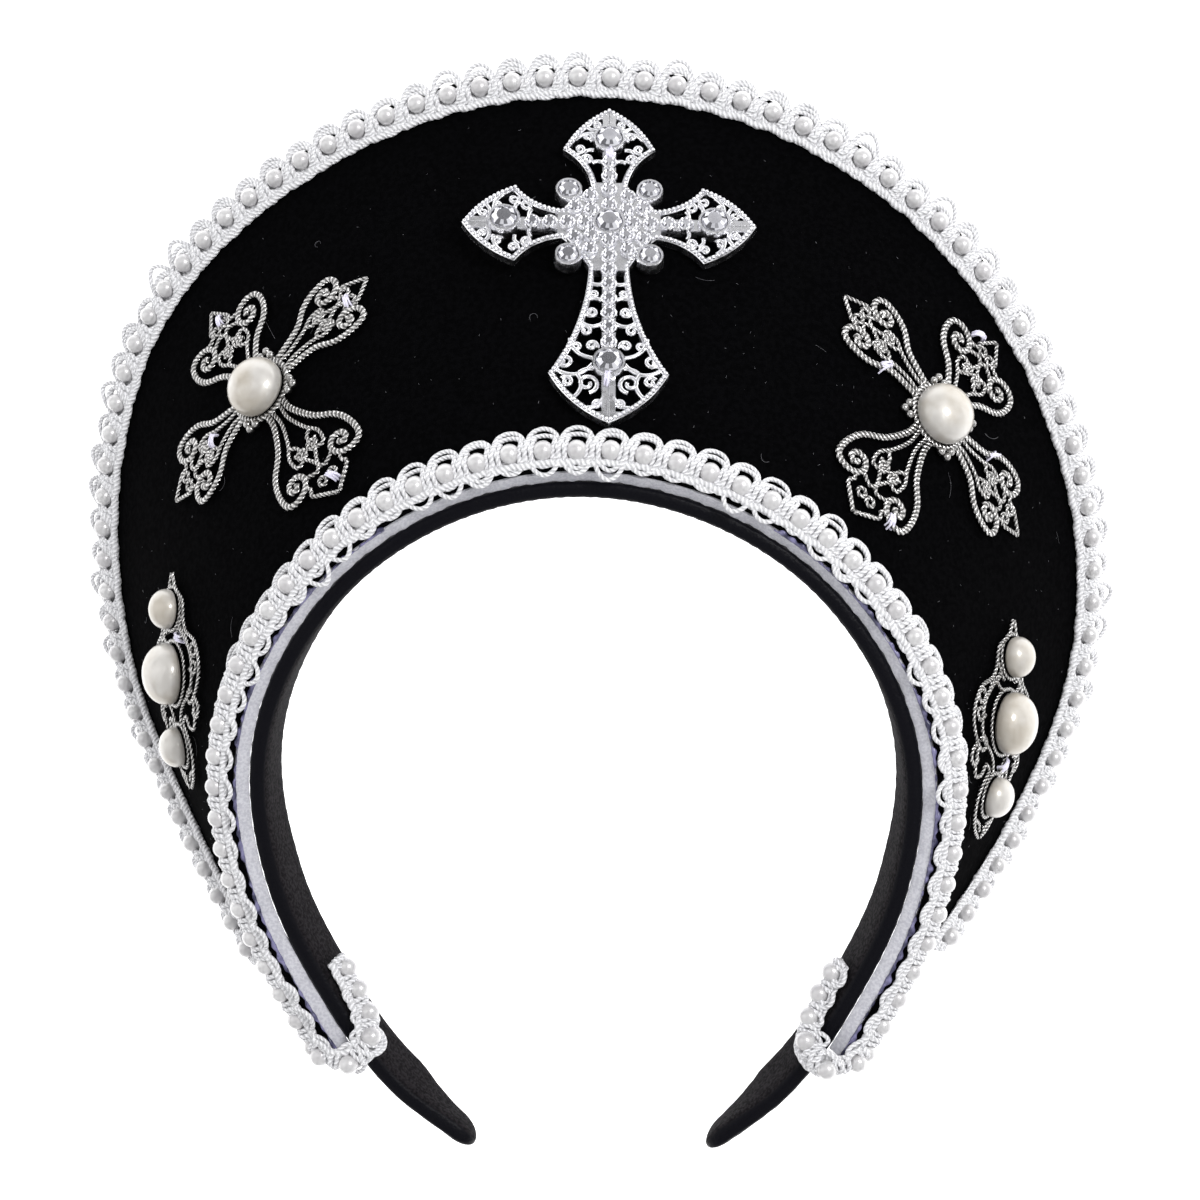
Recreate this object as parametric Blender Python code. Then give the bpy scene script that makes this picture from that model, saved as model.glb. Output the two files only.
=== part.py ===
"""French hood: a flared crescent board on a headband, lying on its rim.

The hood's own frame has X to the wearer's left as seen from the front, Y up the arch
and Z out of the front. Sizes are in millimetres until a mesh is written in metres.
"""
import math

import bmesh
import bpy
import numpy as np
from mathutils import Vector
from mathutils.geometry import tessellate_polygon

MM = 0.001
GAP = 0.3

# Headband
BAND_THICK = 3.3
BAND_WIDTH = 12.0
BAND_END_WIDTH = 8.5
BAND_EDGE_ROUND = 0.9
BAND_END_ANGLE = 161.0
BAND_TWIST_FROM = 153.0
BAND_TWIST = 14.0

# Radius of the band's inner face about the middle of the head opening
BAND_COLUMNS = ("angle", "radius")
BAND_ROWS = (
    (0.0, 53.3),
    (30.0, 54.5),
    (60.0, 58.6),
    (90.0, 64.5),
    (115.0, 68.5),
    (135.0, 73.5),
    (150.0, 80.6),
    (161.0, 85.9),
)

# Board: width from its inner to its outer edge, and how far it leans back
BOARD_COLUMNS = ("angle", "width", "lean")
BOARD_ROWS = (
    (-150.0, 8.6, 57.0),
    (-130.0, 18.3, 67.0),
    (-110.0, 43.0, 66.0),
    (-90.0, 76.0, 61.0),
    (-60.0, 97.7, 51.0),
    (-30.0, 101.8, 46.1),
    (0.0, 102.0, 44.8),
    (30.0, 96.5, 46.1),
    (60.0, 84.9, 51.4),
    (90.0, 72.5, 61.8),
    (110.0, 47.5, 66.8),
    (130.0, 14.0, 68.0),
    (150.0, 8.8, 57.0),
)
BOARD_END = 142.5
FOAM_THICK = 3.0
FOAM_SET_BACK = 0.8
VELVET_THICK = 1.0
VELVET_FLAP = 9.0
WALL_STEP = 7.5

# Braided trims: a row of pearls between two rows of cord loops
PEARL_PITCH = 10.0
TRIM_HALF = 4.9
TRIM_NOTCH = 0.9
TRIM_EDGE = 1.1
PEARL_RADIUS = 2.05
PEARL_DIP = 1.7
INNER_TRIM_CENTRE = 4.0
OUTER_TRIM_INSET = 4.2
OUTER_TRIM_ENDS = (-127.0, 124.0)
TRIM_RISE = VELVET_THICK + 2.0 * GAP

# Ends of the inner trim, carried round the band and up its inner face
WRAP_RING = (143.8, 149.2)
WRAP_STRIP_FROM = 130.0
WRAP_THICK = 1.6
WRAP_RIDGE = 2.2

# Large cast cross
CROSS_AT = (2.6, 58.6)
CROSS_TURN = 3.4
CROSS_ROCK = 3.0
CROSS_LIFT = 0.25
CROSS_THICK = 2.2
CROSS_SHORT_ARM = (30.4, 19.4, 9.7, 3.7, 9.8, 0.11)
CROSS_LONG_ARM = (49.3, 37.4, 12.1, 4.1, 11.0, 0.065)
ARM_COLUMNS = ("tip", "corner_along", "corner_across", "neck_half", "neck_along", "bow")
STONE_SIDES = 8
SMALL_SIDES = 6
CUP_SIDES = 8
WIDE_GAP = 2.7
BIG_STONE = 2.7
CORNER_STONE = 2.1
SMALL_STONE = 1.65
CUP_WALL = 0.6
CUP_HEIGHT = 1.2

# Filigree crosses
FILIGREE_THICK = 0.9
BEND_SPACING = 16.0
PLATE_LIFT = 0.55
FILIGREE_BOSS = 7.2
FILIGREE_AT = {"left": (-48.5, 50.7), "right": (52.5, 48.6)}
CROSS_PEARL = 6.5
HALF_PEARL_SIDES = 10
FILIGREE_COLUMNS = ("turn", "tip", "lobe_along", "lobe_across")
FILIGREE_ARMS = (
    (10.0, 32.0, 24.0, 7.9),
    (95.0, 29.0, 20.5, 11.2),
    (180.0, 32.0, 23.0, 9.0),
    (278.0, 38.0, 28.5, 10.8),
)

# Side pins
PIN_AT = {"left": (-87.0, 35.7), "right": (91.9, 29.2)}
PIN_TURN = 15.0
PIN_PEARLS = {"upper": (12.9, 4.35), "middle": (-0.8, 6.6), "lower": (-16.0, 4.35)}
PIN_BUMP = 0.62

# The hood rests on its rim: pitch lifts the arch, roll levels the two sides
REST_PITCH = 2.2
REST_ROLL = 2.0


def clear_scene():
    """Remove every object that the scene starts with."""
    for item in list(bpy.data.objects):
        bpy.data.objects.remove(item, do_unlink=True)


def material(name, colour, roughness, metallic=0.0):
    """A Principled material of one colour."""
    made = bpy.data.materials.new(name)
    made.use_nodes = True
    shader = made.node_tree.nodes["Principled BSDF"]
    shader.inputs["Base Color"].default_value = (*colour, 1.0)
    shader.inputs["Roughness"].default_value = roughness
    shader.inputs["Metallic"].default_value = metallic
    made.diffuse_color = (*colour, 1.0)
    return made


def smooth(knots, values, at):
    """A cubic through the knots, with the slopes that its neighbours give."""
    knots = np.asarray(knots, float)
    values = np.asarray(values, float)
    slopes = np.gradient(values, knots)
    at = np.asarray(at, float)
    cell = np.clip(np.searchsorted(knots, at) - 1, 0, len(knots) - 2)
    span = knots[cell + 1] - knots[cell]
    u = (at - knots[cell]) / span
    start = (1 + 2 * u) * (1 - u) ** 2 * values[cell] + u * (1 - u) ** 2 * span * slopes[cell]
    end = u * u * (3 - 2 * u) * values[cell + 1] + u * u * (u - 1) * span * slopes[cell + 1]
    return start + end


def column(rows, columns, name):
    """One named column of a table."""
    return np.array([row[columns.index(name)] for row in rows])


def band_radius(angle):
    """Radius of the band's inner face, the same on both sides."""
    knots = column(BAND_ROWS, BAND_COLUMNS, "angle")
    radii = column(BAND_ROWS, BAND_COLUMNS, "radius")
    both = np.concatenate([-knots[:0:-1], knots])
    return smooth(both, np.concatenate([radii[:0:-1], radii]), angle)


def band_point(angle):
    """Point of the band's inner face in the plane of its front edge."""
    turn = np.radians(angle)
    radius = band_radius(angle)
    return np.stack([radius * np.sin(turn), radius * np.cos(turn), 0.0 * turn], -1)


def band_outward(angle):
    """Unit direction out of the head opening, square to the band."""
    angle = np.asarray(angle, float)
    along = band_point(angle + 0.5) - band_point(angle - 0.5)
    along /= np.linalg.norm(along, axis=-1, keepdims=True)
    return np.stack([-along[..., 1], along[..., 0], 0.0 * along[..., 0]], -1)


def board_width(angle):
    """Width of the board at an angle round the arch."""
    knots = column(BOARD_ROWS, BOARD_COLUMNS, "angle")
    return smooth(knots, column(BOARD_ROWS, BOARD_COLUMNS, "width"), angle)


def board_point(angle, run, rise):
    """Point of the flared board.

    Angle goes round the arch, run goes out along the board from its inner edge,
    and rise stands off the foam's front face.
    """
    angle = np.asarray(angle, float)
    run = np.asarray(run, float)[..., None]
    lift = (np.asarray(rise, float) + FOAM_THICK)[..., None]
    knots = column(BOARD_ROWS, BOARD_COLUMNS, "angle")
    lean = np.radians(smooth(knots, column(BOARD_ROWS, BOARD_COLUMNS, "lean"), angle))[..., None]
    out = band_outward(angle)
    front = np.array([0.0, 0.0, 1.0])
    edge = band_point(angle) + out * (BAND_THICK + GAP) - front * FOAM_SET_BACK
    along = out * np.cos(lean) - front * np.sin(lean)
    face = out * np.sin(lean) + front * np.cos(lean)
    return edge + along * run + face * lift


def add_mesh(name, points, faces, finish, parent, sharp=40.0):
    """Write points in millimetres and faces as one closed object."""
    mesh = bpy.data.meshes.new(name)
    mesh.from_pydata((np.asarray(points) * MM).tolist(), [], [tuple(face) for face in faces])
    shape = bmesh.new()
    shape.from_mesh(mesh)
    bmesh.ops.recalc_face_normals(shape, faces=shape.faces)
    shape.to_mesh(mesh)
    shape.free()
    mesh.shade_smooth()
    mesh.set_sharp_from_angle(angle=math.radians(sharp))
    mesh.materials.append(finish)
    made = bpy.data.objects.new(name, mesh)
    bpy.context.scene.collection.objects.link(made)
    made.parent = parent
    return made


def tube_faces(rows, count, closed=False):
    """Triangles between rows of points, with flat ends or joined end to start.

    Every square is split the same way, so that stacked layers keep their gap.
    """
    faces = []
    for row in range(rows if closed else rows - 1):
        below = (row + 1) % rows
        for k in range(count):
            side = (k + 1) % count
            faces.append((row * count + k, row * count + side, below * count + side))
            faces.append((row * count + k, below * count + side, below * count + k))
    if not closed:
        faces.append(tuple(range(count)))
        faces.append(tuple((rows - 1) * count + k for k in range(count)))
    return faces


def add_sweep(name, sections, finish, parent, closed=False, sharp=40.0):
    """One solid through sections of equal point counts."""
    sections = np.asarray(sections)
    faces = tube_faces(sections.shape[0], sections.shape[1], closed)
    return add_mesh(name, sections.reshape(-1, 3), faces, finish, parent, sharp)


def board_sections(angles, profiles):
    """Sections of the board; each profile lists its run and rise pairs."""
    sections = []
    for angle, profile in zip(angles, profiles):
        profile = np.asarray(profile)
        angle_row = np.full(len(profile), angle)
        sections.append(board_point(angle_row, profile[:, 0], profile[:, 1]))
    return sections


def wall_angles():
    """Angles of the board's sections, evenly round the arch."""
    return np.linspace(-BOARD_END, BOARD_END, int(2 * BOARD_END / WALL_STEP) + 1)


def make_foam(parent, finish):
    """The stiff board, its cut inner edge bare."""
    profiles = []
    for width in board_width(wall_angles()):
        profiles.append([(0.0, 0.0), (width, 0.0), (width, -FOAM_THICK), (0.0, -FOAM_THICK)])
    add_sweep("foam_board", board_sections(wall_angles(), profiles), finish, parent)


def make_velvet(parent, finish):
    """Velvet over the front, turned over the outer edge onto the back."""
    front = GAP + VELVET_THICK
    back = -FOAM_THICK - GAP
    half = 0.5 * VELVET_THICK
    profiles = []
    for width in board_width(wall_angles()):
        flap = min(VELVET_FLAP, 0.45 * width)
        inner = width + GAP
        outer = inner + VELVET_THICK
        profiles.append([
            (0.2, GAP), (inner, GAP), (inner, back), (width - flap, back),
            (width - flap, back - VELVET_THICK), (outer - half, back - VELVET_THICK),
            (outer, back - half), (outer, front - half), (outer - half, front), (0.2, front),
        ])
    add_sweep("velvet_cover", board_sections(wall_angles(), profiles), finish, parent)


def band_section(angle):
    """Rounded section of the headband, narrower and turned forward at its ends."""
    past = max(0.0, abs(angle) - BAND_TWIST_FROM) / (BAND_END_ANGLE - BAND_TWIST_FROM)
    width = BAND_WIDTH + (BAND_END_WIDTH - BAND_WIDTH) * past
    trim = BAND_EDGE_ROUND
    corners = [
        (0.0, -trim), (trim, 0.0), (BAND_THICK - trim, 0.0), (BAND_THICK, -trim),
        (BAND_THICK, trim - width), (BAND_THICK - trim, -width), (trim, -width), (0.0, trim - width),
    ]
    middle = np.array([0.5 * BAND_THICK, -0.5 * width])
    turn = math.radians(BAND_TWIST) * past
    spin = np.array([[math.cos(turn), -math.sin(turn)], [math.sin(turn), math.cos(turn)]])
    return (np.array(corners) - middle) @ spin.T + middle


def place_on_band(angle, outline):
    """Points of an outline given as distance out and depth, at an angle."""
    outline = np.asarray(outline)
    depth = np.zeros((len(outline), 3))
    depth[:, 2] = outline[:, 1]
    return band_point(angle) + band_outward(angle) * outline[:, :1] + depth


def make_band(parent, finish):
    """The padded headband with rounded ends."""
    angles = list(np.linspace(-BAND_END_ANGLE, BAND_END_ANGLE, 41))
    sections = [place_on_band(angle, band_section(angle)) for angle in angles]
    ends = []
    for side in (-1, 1):
        last = sections[0 if side < 0 else -1]
        near = sections[1 if side < 0 else -2]
        ahead = last.mean(0) - near.mean(0)
        ahead /= np.linalg.norm(ahead)
        rounded = []
        for share in (0.45, 0.8, 0.97):
            shrink = math.sqrt(1.0 - share * share)
            tip = last.mean(0) + (last - last.mean(0)) * (0.35 + 0.65 * shrink)
            rounded.append(tip + ahead * share * 0.5 * BAND_END_WIDTH)
        ends.append(rounded)
    sections = ends[0][::-1] + sections + ends[1]
    add_sweep("headband", sections, finish, parent, sharp=60.0)


def bead_angles(centre_run, first, last):
    """Angles of pearls and of the knots between them, evenly along a trim."""
    angles = np.linspace(first, last, 1500)
    points = board_point(angles, centre_run(angles), np.full(angles.shape, TRIM_RISE))
    length = np.concatenate([[0.0], np.cumsum(np.linalg.norm(np.diff(points, axis=0), axis=1))])
    pearls = int(length[-1] // PEARL_PITCH)
    steps = np.arange(2 * pearls + 1) * length[-1] / (2 * pearls)
    return np.interp(steps, length, angles)


def trim_profile(at_pearl):
    """Half-round bead row between two flat rows of loops, as offset and height."""
    half = TRIM_HALF if at_pearl else TRIM_HALF - TRIM_NOTCH
    bead = PEARL_RADIUS if at_pearl else PEARL_RADIUS - 0.5
    crest = 2.0 * PEARL_RADIUS + 0.3 - (0.0 if at_pearl else PEARL_DIP)
    return [
        (-half, 0.0), (-half, TRIM_EDGE), (-bead, TRIM_EDGE + 0.6), (0.0, crest),
        (bead, TRIM_EDGE + 0.6), (half, TRIM_EDGE), (half, 0.0),
    ]


def make_trim(name, centre_run, first, last, parent, finish):
    """A braid whose bead row rises at each pearl and dips at each knot."""
    angles = bead_angles(centre_run, first, last)
    profiles = []
    for place, angle in enumerate(angles):
        middle = float(centre_run(angle))
        profile = trim_profile(place % 2 == 1)
        profiles.append([(middle + offset, TRIM_RISE + height) for offset, height in profile])
    add_sweep(name, board_sections(angles, profiles), finish, parent)


def inner_trim_run(angle):
    """Middle of the inner trim, beside the board's cut edge."""
    return INNER_TRIM_CENTRE + 0.0 * np.asarray(angle, float)


def outer_trim_run(angle):
    """Middle of the outer trim, along the board's outer edge."""
    return board_width(angle) - OUTER_TRIM_INSET


def grown(outline, amount):
    """A rounded outline pushed out square to its sides by an amount."""
    before = outline - np.roll(outline, 1, axis=0)
    after = np.roll(outline, -1, axis=0) - outline
    tangent = before / np.linalg.norm(before, axis=1, keepdims=True)
    tangent = tangent + after / np.linalg.norm(after, axis=1, keepdims=True)
    normal = np.column_stack([tangent[:, 1], -tangent[:, 0]])
    normal /= np.linalg.norm(normal, axis=1, keepdims=True)
    if np.sum(normal * (outline - outline.mean(0))) < 0.0:
        normal = -normal
    return outline + normal * amount


def apply_union(body, extra):
    """Fuse a second solid into a body and drop it."""
    extra.hide_render = True
    extra.display_type = "WIRE"
    join = body.modifiers.new("join", "BOOLEAN")
    join.operation = "UNION"
    join.solver = "EXACT"
    join.object = extra
    bpy.context.view_layer.update()
    joined = bpy.data.meshes.new_from_object(body.evaluated_get(bpy.context.evaluated_depsgraph_get()))
    body.modifiers.clear()
    body.data = joined
    bpy.data.objects.remove(extra, do_unlink=True)
    body.data.shade_smooth()
    body.data.set_sharp_from_angle(angle=math.radians(40.0))


def make_wrap(name, side, parent, finish):
    """A trim's end: a ring round the band and a strip up its inner face."""
    first, last = WRAP_RING
    middle = 0.5 * (first + last)
    loops = []
    for angle, growth in ((first, GAP), (last, GAP), (last, WRAP_THICK), (middle, WRAP_RIDGE), (first, WRAP_THICK)):
        loops.append(place_on_band(side * angle, grown(band_section(angle), growth + 0.6)))
    ring = add_sweep(name, loops, finish, parent, closed=True)
    profile = [
        (-GAP, -1.0), (-WRAP_THICK, -1.4), (-2.0 * PEARL_RADIUS, -4.4), (-2.0 * PEARL_RADIUS, -7.4),
        (-WRAP_THICK, -10.4), (-GAP, -10.8),
    ]
    angles = np.linspace(WRAP_STRIP_FROM, middle, 6)
    strip = [place_on_band(side * angle, np.array(profile) - (0.9, 0.0)) for angle in angles]
    apply_union(ring, add_sweep(name + "_strip", strip, finish, parent))


class Seat:
    """A place on the velvet with its own level frame: across, along and up."""

    def __init__(self, angle, run, turn=0.0, mirrored=False, lift=0.0, rock=0.0):
        self.angle = angle
        self.run = run
        self.level = VELVET_THICK + 2.0 * GAP + lift
        self.origin = board_point(angle, run, self.level)
        along = board_point(angle, run + 1.0, self.level) - self.origin
        along /= np.linalg.norm(along)
        step = board_point(angle + 0.5, run, self.level) - board_point(angle - 0.5, run, self.level)
        self.degree = np.linalg.norm(step)
        step -= along * (step @ along)
        across = step / np.linalg.norm(step)
        self.up = np.cross(across, along) * -1.0
        if self.up[2] < 0.0:
            self.up = -self.up
        self.ruling = (across, along)
        if mirrored:
            across = -across
        lean = math.radians(turn)
        self.across = across * math.cos(lean) + along * math.sin(lean)
        self.along = along * math.cos(lean) - across * math.sin(lean)
        tip = math.radians(rock)
        self.across, self.up = (self.across * math.cos(tip) - self.up * math.sin(tip),
                                self.up * math.cos(tip) + self.across * math.sin(tip))

    def flat(self, points):
        """Points of a stiff piece that stays level on the seat."""
        points = np.asarray(points, float)
        return (self.origin + points[:, :1] * self.across + points[:, 1:2] * self.along
                + points[:, 2:3] * self.up)

    def located(self, points):
        """Angle and run of the board below points of the level frame."""
        points = np.asarray(points, float)
        target = self.flat(np.column_stack([points[:, :2], np.zeros(len(points))]))
        angle = np.full(len(points), float(self.angle))
        run = np.full(len(points), float(self.run))
        for _ in range(14):
            short = target - board_point(angle, run, np.full(len(points), self.level))
            angle = angle + short @ self.ruling[0] / self.degree
            run = run + short @ self.ruling[1]
        return angle, run

    def draped(self, points):
        """Points of a thin piece that bends with the board below it."""
        points = np.asarray(points, float)
        angle, run = self.located(points)
        return board_point(angle, run, self.level + points[:, 2])


def plate_mesh(outline, gaps, low, high):
    """Points and faces of a flat plate with an outline and gaps cut through it."""
    loops = [np.asarray(outline)] + [np.asarray(gap) for gap in gaps]
    flat = np.concatenate(loops)
    triangles = tessellate_polygon([[Vector((x, y, 0.0)) for x, y in loop] for loop in loops])
    count = len(flat)
    points = np.concatenate([
        np.column_stack([flat, np.full(count, low)]),
        np.column_stack([flat, np.full(count, high)]),
    ])
    faces = []
    for a, b, c in triangles:
        faces.append((a, b, c))
        faces.append((c + count, b + count, a + count))
    start = 0
    for loop in loops:
        for k in range(len(loop)):
            a = start + k
            b = start + (k + 1) % len(loop)
            faces.append((a, b, b + count, a + count))
        start += len(loop)
    return points, faces


def sliced(points, faces, spacing):
    """A flat plate's faces cut at even spacing across, so that it can bend."""
    mesh = bpy.data.meshes.new("sliced")
    mesh.from_pydata(points.tolist(), [], faces)
    shape = bmesh.new()
    shape.from_mesh(mesh)
    reach = spacing * math.floor(np.abs(points[:, 0]).max() / spacing)
    for place in np.arange(-reach, reach + 0.1, spacing):
        geometry = shape.verts[:] + shape.edges[:] + shape.faces[:]
        bmesh.ops.bisect_plane(shape, geom=geometry, plane_co=(place, 0.0, 0.0), plane_no=(1.0, 0.0, 0.0))
    bmesh.ops.triangulate(shape, faces=shape.faces[:])
    shape.verts.index_update()
    cut_points = np.array([vertex.co for vertex in shape.verts])
    cut_faces = [tuple(vertex.index for vertex in face.verts) for face in shape.faces]
    shape.free()
    bpy.data.meshes.remove(mesh)
    return cut_points, cut_faces


def turned(points, degrees):
    """Flat points turned about the middle."""
    turn = math.radians(degrees)
    spin = np.array([[math.cos(turn), -math.sin(turn)], [math.sin(turn), math.cos(turn)]])
    return np.asarray(points) @ spin.T


def leaf(across, along, length, width, turn):
    """A pointed gap: its middle, its length and width, and the turn of its length.

    A wide gap has six corners and a slender one four.
    """
    sides = 6 if width > WIDE_GAP else 4
    turns = np.arange(sides) * 2.0 * math.pi / sides
    shape = np.column_stack([0.5 * length * np.cos(turns), 0.55 * width * np.sin(turns)])
    return turned(shape, turn) + (across, along)


def both_sides(gaps):
    """Each leaf and its mirror image; a leaf on the middle line stays single."""
    made = []
    for gap in gaps:
        size = dict(zip(GAP_COLUMNS, gap))
        made.append(leaf(**size))
        if size["across"] > 0.0:
            made.append(leaf(**{**size, "across": -size["across"], "turn": 180.0 - size["turn"]}))
    return made


def bowed(start, end, bow, steps):
    """Points after the start on a shallow arc; bow is its rise over its length."""
    start = np.asarray(start, float)
    end = np.asarray(end, float)
    share = np.linspace(0.0, 1.0, steps + 1)[1:, None]
    side = np.array([-(end - start)[1], (end - start)[0]])
    return start + (end - start) * share + side * bow * 4.0 * share * (1.0 - share)


def flared_arm(arm):
    """Half outlines of a cast arm pointing along Y, from right neck to left neck."""
    size = dict(zip(ARM_COLUMNS, arm))
    neck = (size["neck_half"], size["neck_along"])
    corner = (size["corner_across"], size["corner_along"])
    tip = (0.0, size["tip"])
    right = np.concatenate([[neck], bowed(neck, corner, size["bow"], 3), bowed(corner, tip, -0.09, 3)])
    left = right[-2::-1] * (-1.0, 1.0)
    return np.concatenate([right, left])


# Gaps of the cast arms; a row off the middle line is repeated on its other side
GAP_COLUMNS = ("across", "along", "length", "width", "turn")
SHORT_GAPS = (
    (3.1, 13.9, 7.6, 1.9, 80.0),
    (6.2, 18.6, 4.2, 2.2, 30.0),
    (5.6, 22.2, 3.8, 2.0, 115.0),
    (3.2, 25.8, 3.6, 1.9, 140.0),
    (0.0, 27.4, 2.6, 1.6, 90.0),
)
LONG_GAPS = (
    (2.8, 14.2, 3.6, 1.2, 88.0),
    (3.2, 18.4, 3.2, 1.4, 80.0),
    (3.7, 22.6, 3.2, 1.6, 75.0),
    (4.4, 27.2, 5.0, 2.4, 64.0),
    (6.3, 31.9, 4.4, 2.2, 65.0),
    (4.7, 35.0, 3.6, 2.0, 110.0),
    (9.0, 36.2, 5.2, 2.2, 62.0),
    (4.6, 40.7, 5.6, 3.2, 130.0),
    (8.0, 41.4, 4.4, 2.0, 130.0),
    (2.8, 45.7, 3.4, 1.8, 25.0),
    (0.0, 43.2, 3.2, 1.6, 90.0),
)

# Small stones of the cast cross, each across and along; repeated in its mirror places
CLUSTER_STONES = ((0.0, 4.6), (3.6, 3.3), (7.1, 3.9), (3.9, 6.9), (5.0, 0.0))
SHAFT_STONES = (8.6, 12.2, 15.8)
LONG_SHAFT_STONES = (8.4, 12.0, 15.6, 19.2, 22.8, 26.4, 30.0)


def mirrored_places(places):
    """Each place with its images across both middle lines, without doubles."""
    found = []
    for x, y in places:
        for place in ((x, y), (-x, y), (x, -y), (-x, -y)):
            rounded = (round(place[0], 3) + 0.0, round(place[1], 3) + 0.0)
            if rounded not in found:
                found.append(rounded)
    return found


def turned_solid(profile, sides, place):
    """Points and faces of a profile of radius and height turned about an upright."""
    turns = (np.arange(sides) + 0.4) * 2.0 * math.pi / sides
    points = []
    for radius, height in profile:
        for turn in turns:
            points.append((place[0] + radius * math.cos(turn), place[1] + radius * math.sin(turn), height))
    return np.array(points), tube_faces(len(profile), sides)


def joined(parts):
    """Several meshes put into one list of points and faces."""
    points = []
    faces = []
    for part_points, part_faces in parts:
        start = len(points)
        points.extend(part_points.tolist())
        faces.extend(tuple(k + start for k in face) for face in part_faces)
    return np.array(points), faces


def main_stones():
    """Name, place and radius of the nine larger stones of the cast cross."""
    stones = [("stone_centre", (0.0, 0.0), BIG_STONE)]
    stones.append(("stone_top", (0.0, 21.9), BIG_STONE))
    stones.append(("stone_left", (-21.7, 0.5), BIG_STONE))
    stones.append(("stone_right", (21.7, 0.5), BIG_STONE))
    stones.append(("stone_bottom", (0.0, -35.1), BIG_STONE))
    for name, x, y in (("a", -8.4, 8.2), ("b", 8.4, 8.2), ("c", -8.4, -8.6), ("d", 8.4, -8.6)):
        stones.append(("stone_corner_" + name, (x, y), CORNER_STONE))
    return stones


def cross_plate():
    """Outline and gaps of the cast cross."""
    short = flared_arm(CROSS_SHORT_ARM)
    long_arm = flared_arm(CROSS_LONG_ARM)
    shoulder = np.array([[6.6, 6.6]])
    outline = []
    gaps = []
    for arm, holes, turn in ((short, SHORT_GAPS, 0), (short, SHORT_GAPS, 90),
                             (long_arm, LONG_GAPS, 180), (short, SHORT_GAPS, 270)):
        outline.append(turned(np.concatenate([arm, shoulder * (-1.0, 1.0)]), turn))
        gaps.extend(turned(gap, turn) for gap in both_sides(holes))
    return np.concatenate(outline), gaps


def make_cross(parent, metal, crystal):
    """The cast cross with its cups, its field of small stones and its main stones."""
    seat = Seat(*CROSS_AT, turn=CROSS_TURN, lift=CROSS_LIFT, rock=CROSS_ROCK)
    top = CROSS_THICK
    outline, gaps = cross_plate()
    points, faces = plate_mesh(outline, gaps, 0.0, top)
    body = add_mesh("cross_body", seat.flat(points), faces, metal, parent)
    small = mirrored_places(CLUSTER_STONES)
    for reach in SHAFT_STONES:
        small.extend([(0.0, reach), (reach, 0.0), (-reach, 0.0)])
    small.extend((0.0, -reach) for reach in LONG_SHAFT_STONES)
    parts = []
    for _, place, radius in main_stones():
        inner = radius + 0.45
        outer = inner + CUP_WALL
        profile = [(outer, 0.3), (outer, top + CUP_HEIGHT), (inner, top + CUP_HEIGHT), (inner, top + 0.2)]
        parts.append(turned_solid(profile, CUP_SIDES, place))
    cups = joined(parts)
    apply_union(body, add_mesh("cups", seat.flat(cups[0]), cups[1], metal, parent))
    profile = [(SMALL_STONE, top - 0.4), (0.6 * SMALL_STONE, top + 1.1)]
    field = joined([turned_solid(profile, SMALL_SIDES, place) for place in small])
    apply_union(body, add_mesh("field", seat.flat(field[0]), field[1], metal, parent))
    for name, place, radius in main_stones():
        base = top + 0.2 + GAP
        profile = [(0.8 * radius, base), (radius, base + 0.6), (0.58 * radius, base + 1.35)]
        stone, stone_faces = turned_solid(profile, STONE_SIDES, place)
        add_mesh(name, seat.flat(stone), stone_faces, crystal, parent, sharp=10.0)


def filigree_arm(arm):
    """Right neck to left neck of a wire arm with two lobes and a pointed tip."""
    size = dict(zip(FILIGREE_COLUMNS, arm))
    lobe = size["lobe_along"]
    wide = size["lobe_across"]
    tip = size["tip"]
    right = np.array([
        (2.6, 0.8 * FILIGREE_BOSS), (3.2, 0.42 * lobe), (0.62 * wide, 0.66 * lobe), (0.93 * wide, 0.84 * lobe),
        (wide, lobe), (0.86 * wide, lobe + 2.3), (0.6 * wide, lobe + 2.9), (3.4, lobe + 1.4),
        (3.3, tip - 4.4), (0.6, tip),
    ])
    return np.concatenate([right, right[::-1] * (-1.0, 1.0)])


def filigree_gaps(arm):
    """Spaces between the wires of an arm: slits, lobes, middle and tip."""
    size = dict(zip(FILIGREE_COLUMNS, arm))
    lobe = size["lobe_along"]
    wide = size["lobe_across"]
    slit = lobe - FILIGREE_BOSS
    return both_sides((
        (0.34 * wide - 0.6, FILIGREE_BOSS + 0.42 * slit, 0.6 * slit, 1.5, 72.0),
        (0.64 * wide, lobe - 1.7, 0.27 * lobe, 0.4 * wide, 78.0),
        (0.0, lobe - 1.4, 4.6, 2.6, 90.0),
        (0.0, size["tip"] - 3.6, 3.4, 2.2, 90.0),
    ))


def make_filigree(side, parent, metal, pearl):
    """A stamped filigree cross and the half pearl at its middle."""
    angle, run = FILIGREE_AT[side]
    seat = Seat(angle, run, mirrored=side == "right", lift=PLATE_LIFT)
    outline = []
    gaps = []
    for arm in FILIGREE_ARMS:
        turn = arm[0] - 90.0
        outline.append(turned(filigree_arm(arm), turn))
        bead_turn = math.radians(arm[0] + 45.0)
        outline.append(np.array([[math.cos(bead_turn), math.sin(bead_turn)]]) * (FILIGREE_BOSS + 0.9))
        gaps.extend(turned(gap, turn) for gap in filigree_gaps(arm))
    plate = plate_mesh(np.concatenate(outline), gaps, 0.0, FILIGREE_THICK)
    points, faces = sliced(*plate, BEND_SPACING)
    add_mesh("filigree_cross_" + side, seat.draped(points), faces, metal, parent)
    add_half_pearl("cross_pearl_" + side, seat, (0.0, 0.0), CROSS_PEARL, parent, pearl)


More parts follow.
